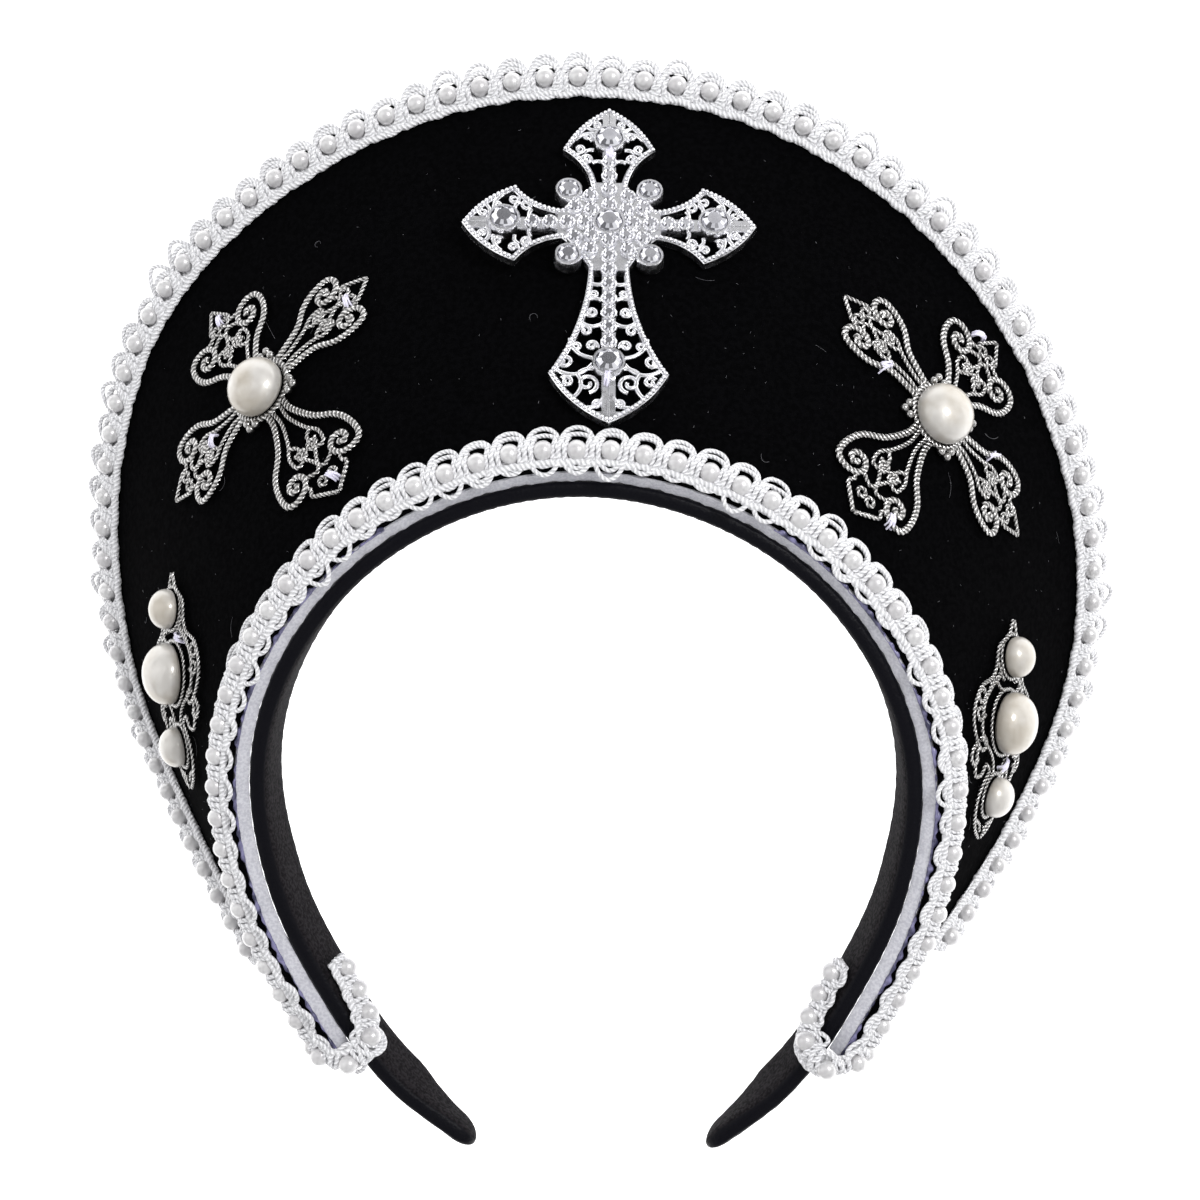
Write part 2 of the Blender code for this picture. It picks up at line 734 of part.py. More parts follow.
def add_half_pearl(name, seat, place, radius, parent, finish):
    """A half pearl glued on a plate."""
    base = FILIGREE_THICK + 1.5 * GAP
    height = 2.0 * radius * PIN_BUMP - 0.6
    profile = [
        (0.93 * radius, base), (radius, base + 0.14 * height), (0.8 * radius, base + 0.65 * height),
        (0.3 * radius, base + height),
    ]
    points, faces = turned_solid(profile, HALF_PEARL_SIDES, (0.0, 0.0))
    angle, run = seat.located([(place[0], place[1], 0.0)])
    spot = Seat(angle[0], run[0], lift=PLATE_LIFT)
    add_mesh(name, spot.flat(points), faces, finish, parent, sharp=70.0)


# Half outline of a side pin, each corner along and across
PIN_HALF = (
    (21.5, 0.5), (17.5, 2.0), (15.0, 4.6), (11.0, 5.2), (9.0, 6.4), (7.0, 9.4), (3.5, 11.4), (-0.5, 11.8),
    (-4.5, 10.4), (-8.0, 9.6), (-11.6, 8.6), (-10.4, 6.6), (-8.6, 4.4), (-11.0, 2.6), (-12.8, 4.4),
    (-16.0, 5.6), (-19.5, 5.2), (-22.4, 3.4), (-24.0, 1.0),
)
PIN_GAPS = (
    (8.6, 3.6, 4.6, 2.6, 60.0),
    (9.3, -2.4, 5.2, 1.9, 85.0),
    (7.7, -7.4, 3.0, 1.4, 60.0),
)


def make_pin(side, parent, metal, pearl):
    """A filigree side pin lying along the board, with three half pearls."""
    angle, run = PIN_AT[side]
    seat = Seat(angle, run, turn=PIN_TURN, mirrored=side == "right", lift=PLATE_LIFT)
    half = np.array(PIN_HALF)
    outline = np.concatenate([half, half[::-1] * (1.0, -1.0)])
    gaps = [gap[:, ::-1] for gap in both_sides(PIN_GAPS)]
    points, faces = sliced(*plate_mesh(outline, gaps, 0.0, FILIGREE_THICK), BEND_SPACING)
    add_mesh("side_pin_" + side, seat.draped(points), faces, metal, parent)
    for place, (along, radius) in PIN_PEARLS.items():
        add_half_pearl("pin_pearl_" + side + "_" + place, seat, (along, 0.0), radius, parent, pearl)


def rest_frame():
    """The empty that carries the hood in its pose at rest."""
    carrier = bpy.data.objects.new("hood_at_rest", None)
    bpy.context.scene.collection.objects.link(carrier)
    carrier.rotation_euler = (math.radians(REST_PITCH), math.radians(REST_ROLL), 0.0)
    return carrier


def settle(carrier):
    """Lower the hood until its rim touches the ground, centred over the origin."""
    bpy.context.view_layer.update()
    low = np.full(3, np.inf)
    high = np.full(3, -np.inf)
    for child in carrier.children:
        world = np.array(child.matrix_world)
        points = np.array([vertex.co for vertex in child.data.vertices]) @ world[:3, :3].T + world[:3, 3]
        low = np.minimum(low, points.min(0))
        high = np.maximum(high, points.max(0))
    carrier.location = (-0.5 * (low[0] + high[0]), -0.5 * (low[1] + high[1]), -low[2])


def build():
    """Make the hood's pieces in order."""
    clear_scene()
    velvet = material("velvet", (0.008, 0.008, 0.010), 0.9)
    band_cloth = material("band_velvet", (0.012, 0.011, 0.013), 0.85)
    foam = material("foam", (0.86, 0.85, 0.92), 0.8)
    braid = material("braid", (0.93, 0.93, 0.94), 0.45)
    silver = material("silver", (0.83, 0.83, 0.84), 0.22, 1.0)
    aged_silver = material("aged_silver", (0.62, 0.61, 0.60), 0.3, 1.0)
    crystal = material("crystal", (0.93, 0.93, 0.95), 0.05)
    pearl = material("pearl", (0.91, 0.88, 0.83), 0.18)
    hood = rest_frame()
    make_foam(hood, foam)
    make_velvet(hood, velvet)
    make_band(hood, band_cloth)
    make_trim("inner_trim", inner_trim_run, -BOARD_END, BOARD_END, hood, braid)
    make_trim("outer_trim", outer_trim_run, *OUTER_TRIM_ENDS, hood, braid)
    make_wrap("wrap_left", -1, hood, braid)
    make_wrap("wrap_right", 1, hood, braid)
    make_cross(hood, silver, crystal)
    for side in ("left", "right"):
        make_filigree(side, hood, aged_silver, pearl)
        make_pin(side, hood, aged_silver, pearl)
    settle(hood)


build()
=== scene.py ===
"""French hood dressed for its picture: velvet board, padded headband, corded trims and crosses.

Shapes are worked out in the hood's own frame in millimetres: X to the right as seen from
the front, Y up the arch, Z out of the front. They are turned into the resting pose and
metres when a mesh is written.
"""

import logging
import math
from dataclasses import dataclass, replace
from enum import Enum

import bmesh
import bpy
import numpy as np
from mathutils import Euler, Matrix, Vector
from mathutils.geometry import tessellate_polygon


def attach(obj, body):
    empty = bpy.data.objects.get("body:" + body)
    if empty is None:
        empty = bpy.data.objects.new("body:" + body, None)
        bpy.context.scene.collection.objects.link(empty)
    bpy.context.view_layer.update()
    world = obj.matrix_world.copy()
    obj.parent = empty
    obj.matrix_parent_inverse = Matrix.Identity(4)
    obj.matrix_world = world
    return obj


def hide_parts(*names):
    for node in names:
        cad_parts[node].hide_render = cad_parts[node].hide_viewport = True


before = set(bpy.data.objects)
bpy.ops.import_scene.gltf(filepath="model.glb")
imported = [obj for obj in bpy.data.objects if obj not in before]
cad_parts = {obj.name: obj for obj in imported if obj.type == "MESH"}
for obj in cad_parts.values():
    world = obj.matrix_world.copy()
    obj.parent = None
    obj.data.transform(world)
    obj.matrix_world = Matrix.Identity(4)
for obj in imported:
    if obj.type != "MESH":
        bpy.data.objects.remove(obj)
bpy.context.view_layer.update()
LOG = logging.getLogger("hood")
Array = np.ndarray
MM = 0.001

# The hood's own frame as it rests on its rim
HOOD_AT = np.array([4.27, -25.19, 71.89])
HOOD_TURN = np.array(Euler((math.radians(2.2), math.radians(2.0), 0.0)).to_matrix())

# The solids' own sizes, in millimetres and degrees
GAP = 0.3
BAND_THICK = 3.3
BAND_WIDTH = 12.0
BAND_END_WIDTH = 8.5
BAND_END_ANGLE = 161.0
BAND_TWIST_FROM = 153.0
BAND_TWIST = 14.0
BAND_KNOTS = np.array([0.0, 30.0, 60.0, 90.0, 115.0, 135.0, 150.0, 161.0])
BAND_RADII = np.array([53.3, 54.5, 58.6, 64.5, 68.5, 73.5, 80.6, 85.9])
BOARD_KNOTS = np.array([
    -150.0, -130.0, -110.0, -90.0, -60.0, -30.0, 0.0, 30.0, 60.0, 90.0, 110.0, 130.0, 150.0,
])
BOARD_WIDTHS = np.array([8.6, 18.3, 43.0, 76.0, 97.7, 101.8, 102.0, 96.5, 84.9, 72.5, 47.5, 14.0, 8.8])
BOARD_LEANS = np.array([57.0, 67.0, 66.0, 61.0, 51.0, 46.1, 44.8, 46.1, 51.4, 61.8, 66.8, 68.0, 57.0])
BOARD_END = 142.5
FOAM_THICK = 3.0
FOAM_SET_BACK = 0.8
VELVET_THICK = 1.0
VELVET_FACE = GAP + VELVET_THICK

# The direction out of the hood's front, and a whole turn and a quarter of one in radians
FRONT = np.array([0.0, 0.0, 1.0])
TURN = 2.0 * math.pi
QUARTER = 0.5 * math.pi


class Side(Enum):
    """The two sides of the hood, as seen from its front."""

    LEFT = -1
    RIGHT = 1


# Where each dressing sits: degrees round the arch and millimetres out along the board
CAST_CROSS_AT = (2.6, 58.6)
CAST_CROSS_TURN = 3.4
CAST_CROSS_ROCK = 3.0
FILIGREE_AT = {Side.LEFT: (-48.5, 50.7), Side.RIGHT: (52.5, 48.6)}
PIN_AT = {Side.LEFT: (-87.0, 35.7), Side.RIGHT: (91.9, 29.2)}


def smooth(knots: Array, values: Array, at: Array) -> Array:
    """Cubic through the knots with the slopes that its neighbours give.

    Args:
        knots: Rising places of the known values.
        values: The known values.
        at: Places to read.

    Returns:
        The curve's values at those places.
    """
    slopes = np.gradient(values, knots)
    at = np.asarray(at, float)
    cell = np.clip(np.searchsorted(knots, at) - 1, 0, len(knots) - 2)
    span = knots[cell + 1] - knots[cell]
    u = (at - knots[cell]) / span
    start = (1 + 2 * u) * (1 - u) ** 2 * values[cell] + u * (1 - u) ** 2 * span * slopes[cell]
    end = u * u * (3 - 2 * u) * values[cell + 1] + u * u * (u - 1) * span * slopes[cell + 1]
    return start + end


def unit(vectors: Array) -> Array:
    """Vectors scaled to length one."""
    return vectors / np.maximum(np.linalg.norm(vectors, axis=-1, keepdims=True), 1e-9)


def to_world(points: Array) -> Array:
    """Hood points in millimetres as resting points in metres."""
    return (np.asarray(points, float) @ HOOD_TURN.T + HOOD_AT) * MM


def band_point(angle: Array) -> Array:
    """Point of the band's inner face: its radius at the angle, in the plane of the front.

    Args:
        angle: Degrees round the arch, zero at its top.

    Returns:
        Points in the hood's frame.
    """
    both = np.concatenate([-BAND_KNOTS[:0:-1], BAND_KNOTS])
    radius = smooth(both, np.concatenate([BAND_RADII[:0:-1], BAND_RADII]), angle)
    turn = np.radians(angle)
    return np.stack([radius * np.sin(turn), radius * np.cos(turn), 0.0 * turn], -1)


def band_outward(angle: Array) -> Array:
    """Unit direction out of the head opening, square to the band's curve.

    Args:
        angle: Degrees round the arch, zero at its top.

    Returns:
        Unit directions in the hood's frame.
    """
    angle = np.asarray(angle, float)
    along = unit(band_point(angle + 0.5) - band_point(angle - 0.5))
    return np.stack([-along[..., 1], along[..., 0], 0.0 * along[..., 0]], -1)


def board_width(angle: Array) -> Array:
    """Width of the board at an angle round the arch."""
    return smooth(BOARD_KNOTS, BOARD_WIDTHS, angle)


def board_point(angle: Array, run: Array, rise: Array) -> Array:
    """Point of the flared board.

    The edge beside the band, plus run along the leaning ruling, plus rise square to it.

    Args:
        angle: Degrees round the arch, zero at its top.
        run: Millimetres out along the board from its inner edge.
        rise: Millimetres off the foam's front face.

    Returns:
        Points in the hood's frame.
    """
    angle, run, rise = np.broadcast_arrays(np.asarray(angle, float), run, rise)
    lean = np.radians(smooth(BOARD_KNOTS, BOARD_LEANS, angle))[..., None]
    out = band_outward(angle)
    edge = band_point(angle) + out * (BAND_THICK + GAP) - FRONT * FOAM_SET_BACK
    along = out * np.cos(lean) - FRONT * np.sin(lean)
    face = out * np.sin(lean) + FRONT * np.cos(lean)
    return edge + along * run[..., None] + face * (rise + FOAM_THICK)[..., None]


def grid_faces(rows: int, columns: int, wrap_rows: bool = False, wrap_columns: bool = False) -> Array:
    """Squares between the neighbours of a grid of points, row after row.

    Args:
        rows: How many rows of points there are.
        columns: Points in each row.
        wrap_rows: Whether the last row joins the first.
        wrap_columns: Whether the last column joins the first.

    Returns:
        Four point numbers for each square.
    """
    down = np.arange(rows if wrap_rows else rows - 1)[:, None]
    across = np.arange(columns if wrap_columns else columns - 1)[None, :]
    below = (down + 1) % rows
    beside = (across + 1) % columns
    corners = [down * columns + across, down * columns + beside,
               below * columns + beside, below * columns + across]
    return np.stack([corner.ravel() for corner in np.broadcast_arrays(*corners)], -1)


@dataclass
class Shape:
    """Points and faces being gathered for one piece."""

    points: list
    faces: list
    marks: list
    count: int = 0

    @staticmethod
    def empty() -> "Shape":
        """A shape with nothing in it yet."""
        return Shape([], [], [])

    def add(self, points: Array, faces: list, marks: Array | None = None) -> None:
        """Add points with their faces and a pair of surface marks for each point.

        Args:
            points: Points in the hood's frame.
            faces: Point numbers of each face.
            marks: Two numbers for each point, or none for zeros.
        """
        points = np.asarray(points, float).reshape(-1, 3)
        self.points.append(points)
        self.faces.extend([[k + self.count for k in face] for face in faces])
        plain = np.zeros((len(points), 2))
        self.marks.append(plain if marks is None else np.asarray(marks).reshape(-1, 2))
        self.count += len(points)

    def add_grid(self, grid: Array, wrap_rows: bool = False, wrap_columns: bool = False,
                 caps: bool = False, marks: Array | None = None) -> None:
        """Add a grid of points, with flat caps on its first and last rows if asked.

        Args:
            grid: Rows of points.
            wrap_rows: Whether the last row joins the first.
            wrap_columns: Whether the last column joins the first.
            caps: Whether the first and last rows are closed.
            marks: Two numbers for each point, or none for zeros.
        """
        rows, columns = grid.shape[:2]
        faces = grid_faces(rows, columns, wrap_rows, wrap_columns).tolist()
        if caps:
            faces.append(list(range(columns)))
            faces.append([(rows - 1) * columns + k for k in range(columns)])
        self.add(grid, faces, marks)

    def build(self, name: str, finish: bpy.types.Material, slot: str, replaces: tuple = (),
              sharp: float = 50.0) -> bpy.types.Object:
        """Write the shape as one piece that rides on the hood.

        Args:
            name: The piece's name.
            finish: Its material.
            slot: The record's material slot; not used.
            replaces: Nodes that it stands for.
            sharp: Degrees past which an edge is shaded sharp.

        Returns:
            The new object.
        """
        mesh = bpy.data.meshes.new(name)
        mesh.from_pydata(to_world(np.concatenate(self.points)).tolist(), [], self.faces)
        layer = mesh.uv_layers.new(name="marks")
        layer.data.foreach_set("uv", corner_marks(mesh, np.concatenate(self.marks)).ravel())
        face_out(mesh)
        mesh.shade_smooth()
        mesh.set_sharp_from_angle(angle=math.radians(sharp))
        mesh.materials.append(finish)
        made = bpy.data.objects.new(name, mesh)
        bpy.context.scene.collection.objects.link(made)
        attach(made, "root")
        if replaces:
            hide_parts(*replaces)
        LOG.info("%s: %d points, %d faces", name, len(mesh.vertices), len(mesh.polygons))
        return made


def corner_marks(mesh: bpy.types.Mesh, marks: Array) -> Array:
    """Marks of every face corner, with the share round raised by one where a face crosses its seam.

    Args:
        mesh: The mesh with its faces.
        marks: Distance along and share round, by point.

    Returns:
        A pair of marks for each face corner.
    """
    corners = np.empty(len(mesh.loops), np.int32)
    mesh.loops.foreach_get("vertex_index", corners)
    starts = np.empty(len(mesh.polygons), np.int32)
    mesh.polygons.foreach_get("loop_start", starts)
    spread = marks[corners]
    sides = np.diff(np.append(starts, len(corners)))
    widest = np.repeat(np.maximum.reduceat(spread[:, 1], starts), sides)
    spread[:, 1] += (widest - spread[:, 1] > 0.5)
    return spread.astype(np.float32)


def face_out(mesh: bpy.types.Mesh) -> None:
    """Turn every closed part of a mesh so that its faces point outwards.

    Args:
        mesh: The mesh to turn.
    """
    shape = bmesh.new()
    shape.from_mesh(mesh)
    bmesh.ops.recalc_face_normals(shape, faces=shape.faces)
    shape.to_mesh(mesh)
    shape.free()


def spline(controls: Array, steps: int) -> Array:
    """Catmull-Rom curve: each span blends its two ends and their neighbours' slopes.

    Args:
        controls: Points that the curve passes.
        steps: Points for each span.

    Returns:
        The curve's points.
    """
    controls = np.asarray(controls, float)
    before = 2 * controls[:1] - controls[1:2]
    after = 2 * controls[-1:] - controls[-2:-1]
    padded = np.concatenate([before, controls, after])
    u = np.linspace(0.0, 1.0, steps, endpoint=False)[None, :, None]
    a, b, c, d = padded[:-3, None], padded[1:-2, None], padded[2:-1, None], padded[3:, None]
    square = (2 * a - 5 * b + 4 * c - d) * u ** 2
    cube = (3 * b - a - 3 * c + d) * u ** 3
    curve = 0.5 * (2 * b + (c - a) * u + square + cube)
    return np.concatenate([curve.reshape(-1, controls.shape[1]), controls[-1:]])


def distance_along(path: Array) -> Array:
    """Distance of each point from the start of its path: the sum of the steps before it."""
    return np.concatenate([[0.0], np.cumsum(np.linalg.norm(np.diff(path, axis=0), axis=1))])


def read_rows(places: Array, known: Array, rows: Array) -> Array:
    """Rows of points or directions, read in straight lines between their known places."""
    return np.stack([np.interp(places, known, rows[:, k]) for k in range(rows.shape[1])], -1)


def evenly(path: Array, step: float) -> Array:
    """A path's points moved to even distances along it, about a step apart.

    Args:
        path: Points in order; columns after the third are carried along too.
        step: Distance wanted between neighbours.

    Returns:
        The moved points.
    """
    length = distance_along(path)
    count = max(3, int(round(length[-1] / step)) + 1)
    return read_rows(np.linspace(0.0, length[-1], count), length, path)


@dataclass(frozen=True)
class Cord:
    """A cord's section: two plies twisted together, seen as a turning oval."""

    radius: float
    pitch: float
    depth: float = 0.3
    sides: int = 7
    flat: float = 1.0

    def tube(self, path: Array, up: Array) -> tuple[Array, Array]:
        """Points round a path and their marks.

        At each place the radius is the cord's own, less a share that comes and goes
        twice round the section, and the section turns once for each pitch.

        Args:
            path: Centre points, evenly spaced.
            up: Direction away from what the cord lies on, for each point.

        Returns:
            Grid of points, and a grid of distance along and share round.
        """
        ahead = unit(np.gradient(path, axis=0))
        beside = unit(np.cross(ahead, up))
        above = np.cross(beside, ahead)
        along = distance_along(path)
        turn = np.linspace(0.0, TURN, self.sides, endpoint=False)[None, :]
        twist = math.pi * along[:, None] / self.pitch
        radius = self.radius * (1.0 - self.depth + self.depth * np.abs(np.cos(turn - twist)) ** 0.8)
        grid = path[:, None] + (beside[:, None] * (radius * np.cos(turn))[..., None]
                                + above[:, None] * (self.flat * radius * np.sin(turn))[..., None])
        marks = np.stack(np.broadcast_arrays(along[:, None], turn / TURN), -1)
        return grid, marks


def add_cord(shape: Shape, cord: Cord, path: Array, up: Array) -> None:
    """Add a cord along a path, with both ends closed."""
    grid, marks = cord.tube(path, np.broadcast_to(up, path.shape))
    shape.add_grid(grid, wrap_columns=True, caps=True, marks=marks)


def add_ball(shape: Shape, centre: Array, radius: float, up: Array, around: int, high: int,
             from_level: float = -1.0) -> None:
    """A ball, or the part of one above a level, as rings about its upright.

    Args:
        shape: The shape that it is added to.
        centre: Its middle.
        radius: Its radius.
        up: Unit direction of its upright.
        around: Points in each ring.
        high: How many rings there are.
        from_level: Where it starts, from minus one at its foot to one at its top.
    """
    side = unit(np.cross(up, [0.31, 0.87, 0.38]))
    other = np.cross(up, side)
    lift = np.linspace(math.asin(from_level), QUARTER, high)[:, None]
    turn = np.linspace(0.0, TURN, around, endpoint=False)[None, :]
    ring = np.maximum(np.cos(lift), 0.02)
    level = np.broadcast_to(np.sin(lift), (high, around))
    grid = np.asarray(centre) + radius * (side * (ring * np.cos(turn))[..., None]
                                          + other * (ring * np.sin(turn))[..., None]
                                          + up * level[..., None])
    shape.add_grid(grid, wrap_columns=True, caps=True)


class Seat:
    """A place on the velvet with a level frame of its own: across, along and up."""

    def __init__(self, angle: float, run: float, turn: float = 0.0, mirrored: bool = False,
                 lift: float = GAP, rock: float = 0.0) -> None:
        """Set the frame at its place, then turn, mirror and rock it.

        Args:
            angle: Degrees round the arch, zero at its top.
            run: Millimetres out along the board.
            turn: Degrees turned on the velvet.
            mirrored: Whether across points the other way.
            lift: Millimetres off the velvet's face.
            rock: Degrees tipped about its length.
        """
        self.angle = angle
        self.run = run
        self.level = VELVET_FACE + lift
        self.origin = board_point(angle, run, self.level)
        along = unit(board_point(angle, run + 1.0, self.level) - self.origin)
        step = board_point(angle + 0.5, run, self.level) - board_point(angle - 0.5, run, self.level)
        self.degree = float(np.linalg.norm(step))
        across = unit(step - along * (step @ along))
        self.up = np.cross(across, along)
        if self.up[2] < 0.0:
            self.up = -self.up
        self.ruling = (across, along)
        if mirrored:
            across = -across
        lean = math.radians(turn)
        self.across = across * math.cos(lean) + along * math.sin(lean)
        self.along = along * math.cos(lean) - across * math.sin(lean)
        tip = math.radians(rock)
        self.across, self.up = (self.across * math.cos(tip) - self.up * math.sin(tip),
                                self.up * math.cos(tip) + self.across * math.sin(tip))

    def flat(self, points: Array) -> Array:
        """Points of a stiff piece that stays level on the seat."""
        points = np.asarray(points, float)
        return (self.origin + points[..., :1] * self.across + points[..., 1:2] * self.along
                + points[..., 2:3] * self.up)

    def located(self, points: Array) -> tuple[Array, Array]:
        """Angle and run of the board below points of the level frame, found step by step.

        Args:
            points: Points in the level frame.

        Returns:
            Their angles and their runs.
        """
        points = np.asarray(points, float)
        level = points * (1.0, 1.0, 0.0)
        target = self.flat(level)
        angle = np.full(points.shape[:-1], float(self.angle))
        run = np.full(points.shape[:-1], float(self.run))
        for _ in range(14):
            short = target - board_point(angle, run, self.level)
            angle = angle + short @ self.ruling[0] / self.degree
            run = run + short @ self.ruling[1]
        return angle, run

    def draped(self, points: Array) -> Array:
        """Points of a thin piece that bends with the board below it."""
        angle, run = self.located(points)
        return board_point(angle, run, self.level + np.asarray(points)[..., 2])

    def at(self, x: float, y: float) -> "Seat":
        """A level seat at a point of this one."""
        angle, run = self.located(np.array([[x, y, 0.0]]))
        return Seat(float(angle[0]), float(run[0]), lift=self.level - VELVET_FACE)


def flat_turn(points: Array, degrees: float) -> Array:
    """Flat points turned about the middle.

    Args:
        points: Pairs across and along.
        degrees: The turn, to the left.

    Returns:
        The turned pairs.
    """
    turn = math.radians(degrees)
    spin = np.array([[math.cos(turn), -math.sin(turn)], [math.sin(turn), math.cos(turn)]])
    return np.asarray(points, float) @ spin.T


# Finishes

def begin_group(name: str, values: dict) -> tuple:
    """A shader group with number inputs that puts out a mask and a normal, and its two end nodes.

    Args:
        name: The group's name.
        values: Its inputs' names and defaults.

    Returns:
        The group, its input node and its output node.
    """
    group = bpy.data.node_groups.new(name, "ShaderNodeTree")
    for word, value in values.items():
        socket = group.interface.new_socket(word, in_out="INPUT", socket_type="NodeSocketFloat")
        socket.default_value = value
    group.interface.new_socket("Mask", in_out="OUTPUT", socket_type="NodeSocketFloat")
    group.interface.new_socket("Normal", in_out="OUTPUT", socket_type="NodeSocketVector")
    return group, group.nodes.new("NodeGroupInput"), group.nodes.new("NodeGroupOutput")


def end_group(group: bpy.types.NodeTree, inside: bpy.types.Node, outside: bpy.types.Node,
              height: bpy.types.NodeSocket) -> bpy.types.Node:
    """Give a height out as the group's mask and, through a bump, as its normal.

    Args:
        group: The group.
        inside: Its input node.
        outside: Its output node.
        height: The value to give out.

    Returns:
        The bump node.
    """
    bump = group.nodes.new("ShaderNodeBump")
    group.links.new(inside.outputs["Strength"], bump.inputs["Strength"])
    group.links.new(inside.outputs["Distance"], bump.inputs["Distance"])
    group.links.new(height, bump.inputs["Height"])
    group.links.new(height, outside.inputs["Mask"])
    group.links.new(bump.outputs["Normal"], outside.inputs["Normal"])
    return bump


def grain_group() -> bpy.types.NodeTree:
    """Shared grain: a noise on Object coordinates as a mask, and a bumped normal.

    Returns:
        The group.
    """
    group, inside, outside = begin_group(
        "grain", {"Scale": 500.0, "Detail": 4.0, "Strength": 0.3, "Distance": 0.0002})
    place = group.nodes.new("ShaderNodeTexCoord")
    noise = group.nodes.new("ShaderNodeTexNoise")
    group.links.new(place.outputs["Object"], noise.inputs["Vector"])
    group.links.new(inside.outputs["Scale"], noise.inputs["Scale"])
    group.links.new(inside.outputs["Detail"], noise.inputs["Detail"])
    end_group(group, inside, outside, noise.outputs["Fac"])
    return group


def twist_group() -> bpy.types.NodeTree:
    """Shared twist: slanting strands on the surface marks, as a mask and a bumped normal.

    The mask is the sine of the distance over the pitch plus the plies times the share round.

    Returns:
        The group.
    """
    group, inside, outside = begin_group(
        "twist", {"Pitch": 1.0, "Plies": 2.0, "Strength": 1.0, "Distance": 0.0002})
    group.interface.new_socket("Normal", in_out="INPUT", socket_type="NodeSocketVector")
    place = group.nodes.new("ShaderNodeUVMap")
    place.uv_map = "marks"
    split = group.nodes.new("ShaderNodeSeparateXYZ")
    link = group.links.new
    link(place.outputs["UV"], split.inputs["Vector"])

    def reckon(operation: str, first: bpy.types.NodeSocket,
               second: bpy.types.NodeSocket | float) -> bpy.types.NodeSocket:
        """One step of arithmetic on two values.

        Args:
            operation: The sum's name.
            first: The value it starts from.
            second: The value or number that it takes in.

        Returns:
            The result's socket.
        """
        node = group.nodes.new("ShaderNodeMath")
        node.operation = operation
        link(first, node.inputs[0])
        if isinstance(second, float):
            node.inputs[1].default_value = second
        else:
            link(second, node.inputs[1])
        return node.outputs["Value"]

    turns = reckon("ADD", reckon("DIVIDE", split.outputs["X"], inside.outputs["Pitch"]),
                   reckon("MULTIPLY", split.outputs["Y"], inside.outputs["Plies"]))
    wave = reckon("SINE", reckon("MULTIPLY", turns, TURN), 0.0)
    height = reckon("ADD", reckon("MULTIPLY", wave, 0.5), 0.5)
    bump = end_group(group, inside, outside, height)
    link(inside.outputs["Normal"], bump.inputs["Normal"])
    return group


GRAIN = grain_group()
TWIST = twist_group()

# A Mix node's sockets for numbers and for colours
MIX_SHARE = 0
MIX_NUMBERS = (2, 3)
MIX_COLOURS = (6, 7)
MIX_COLOUR_OUT = 2


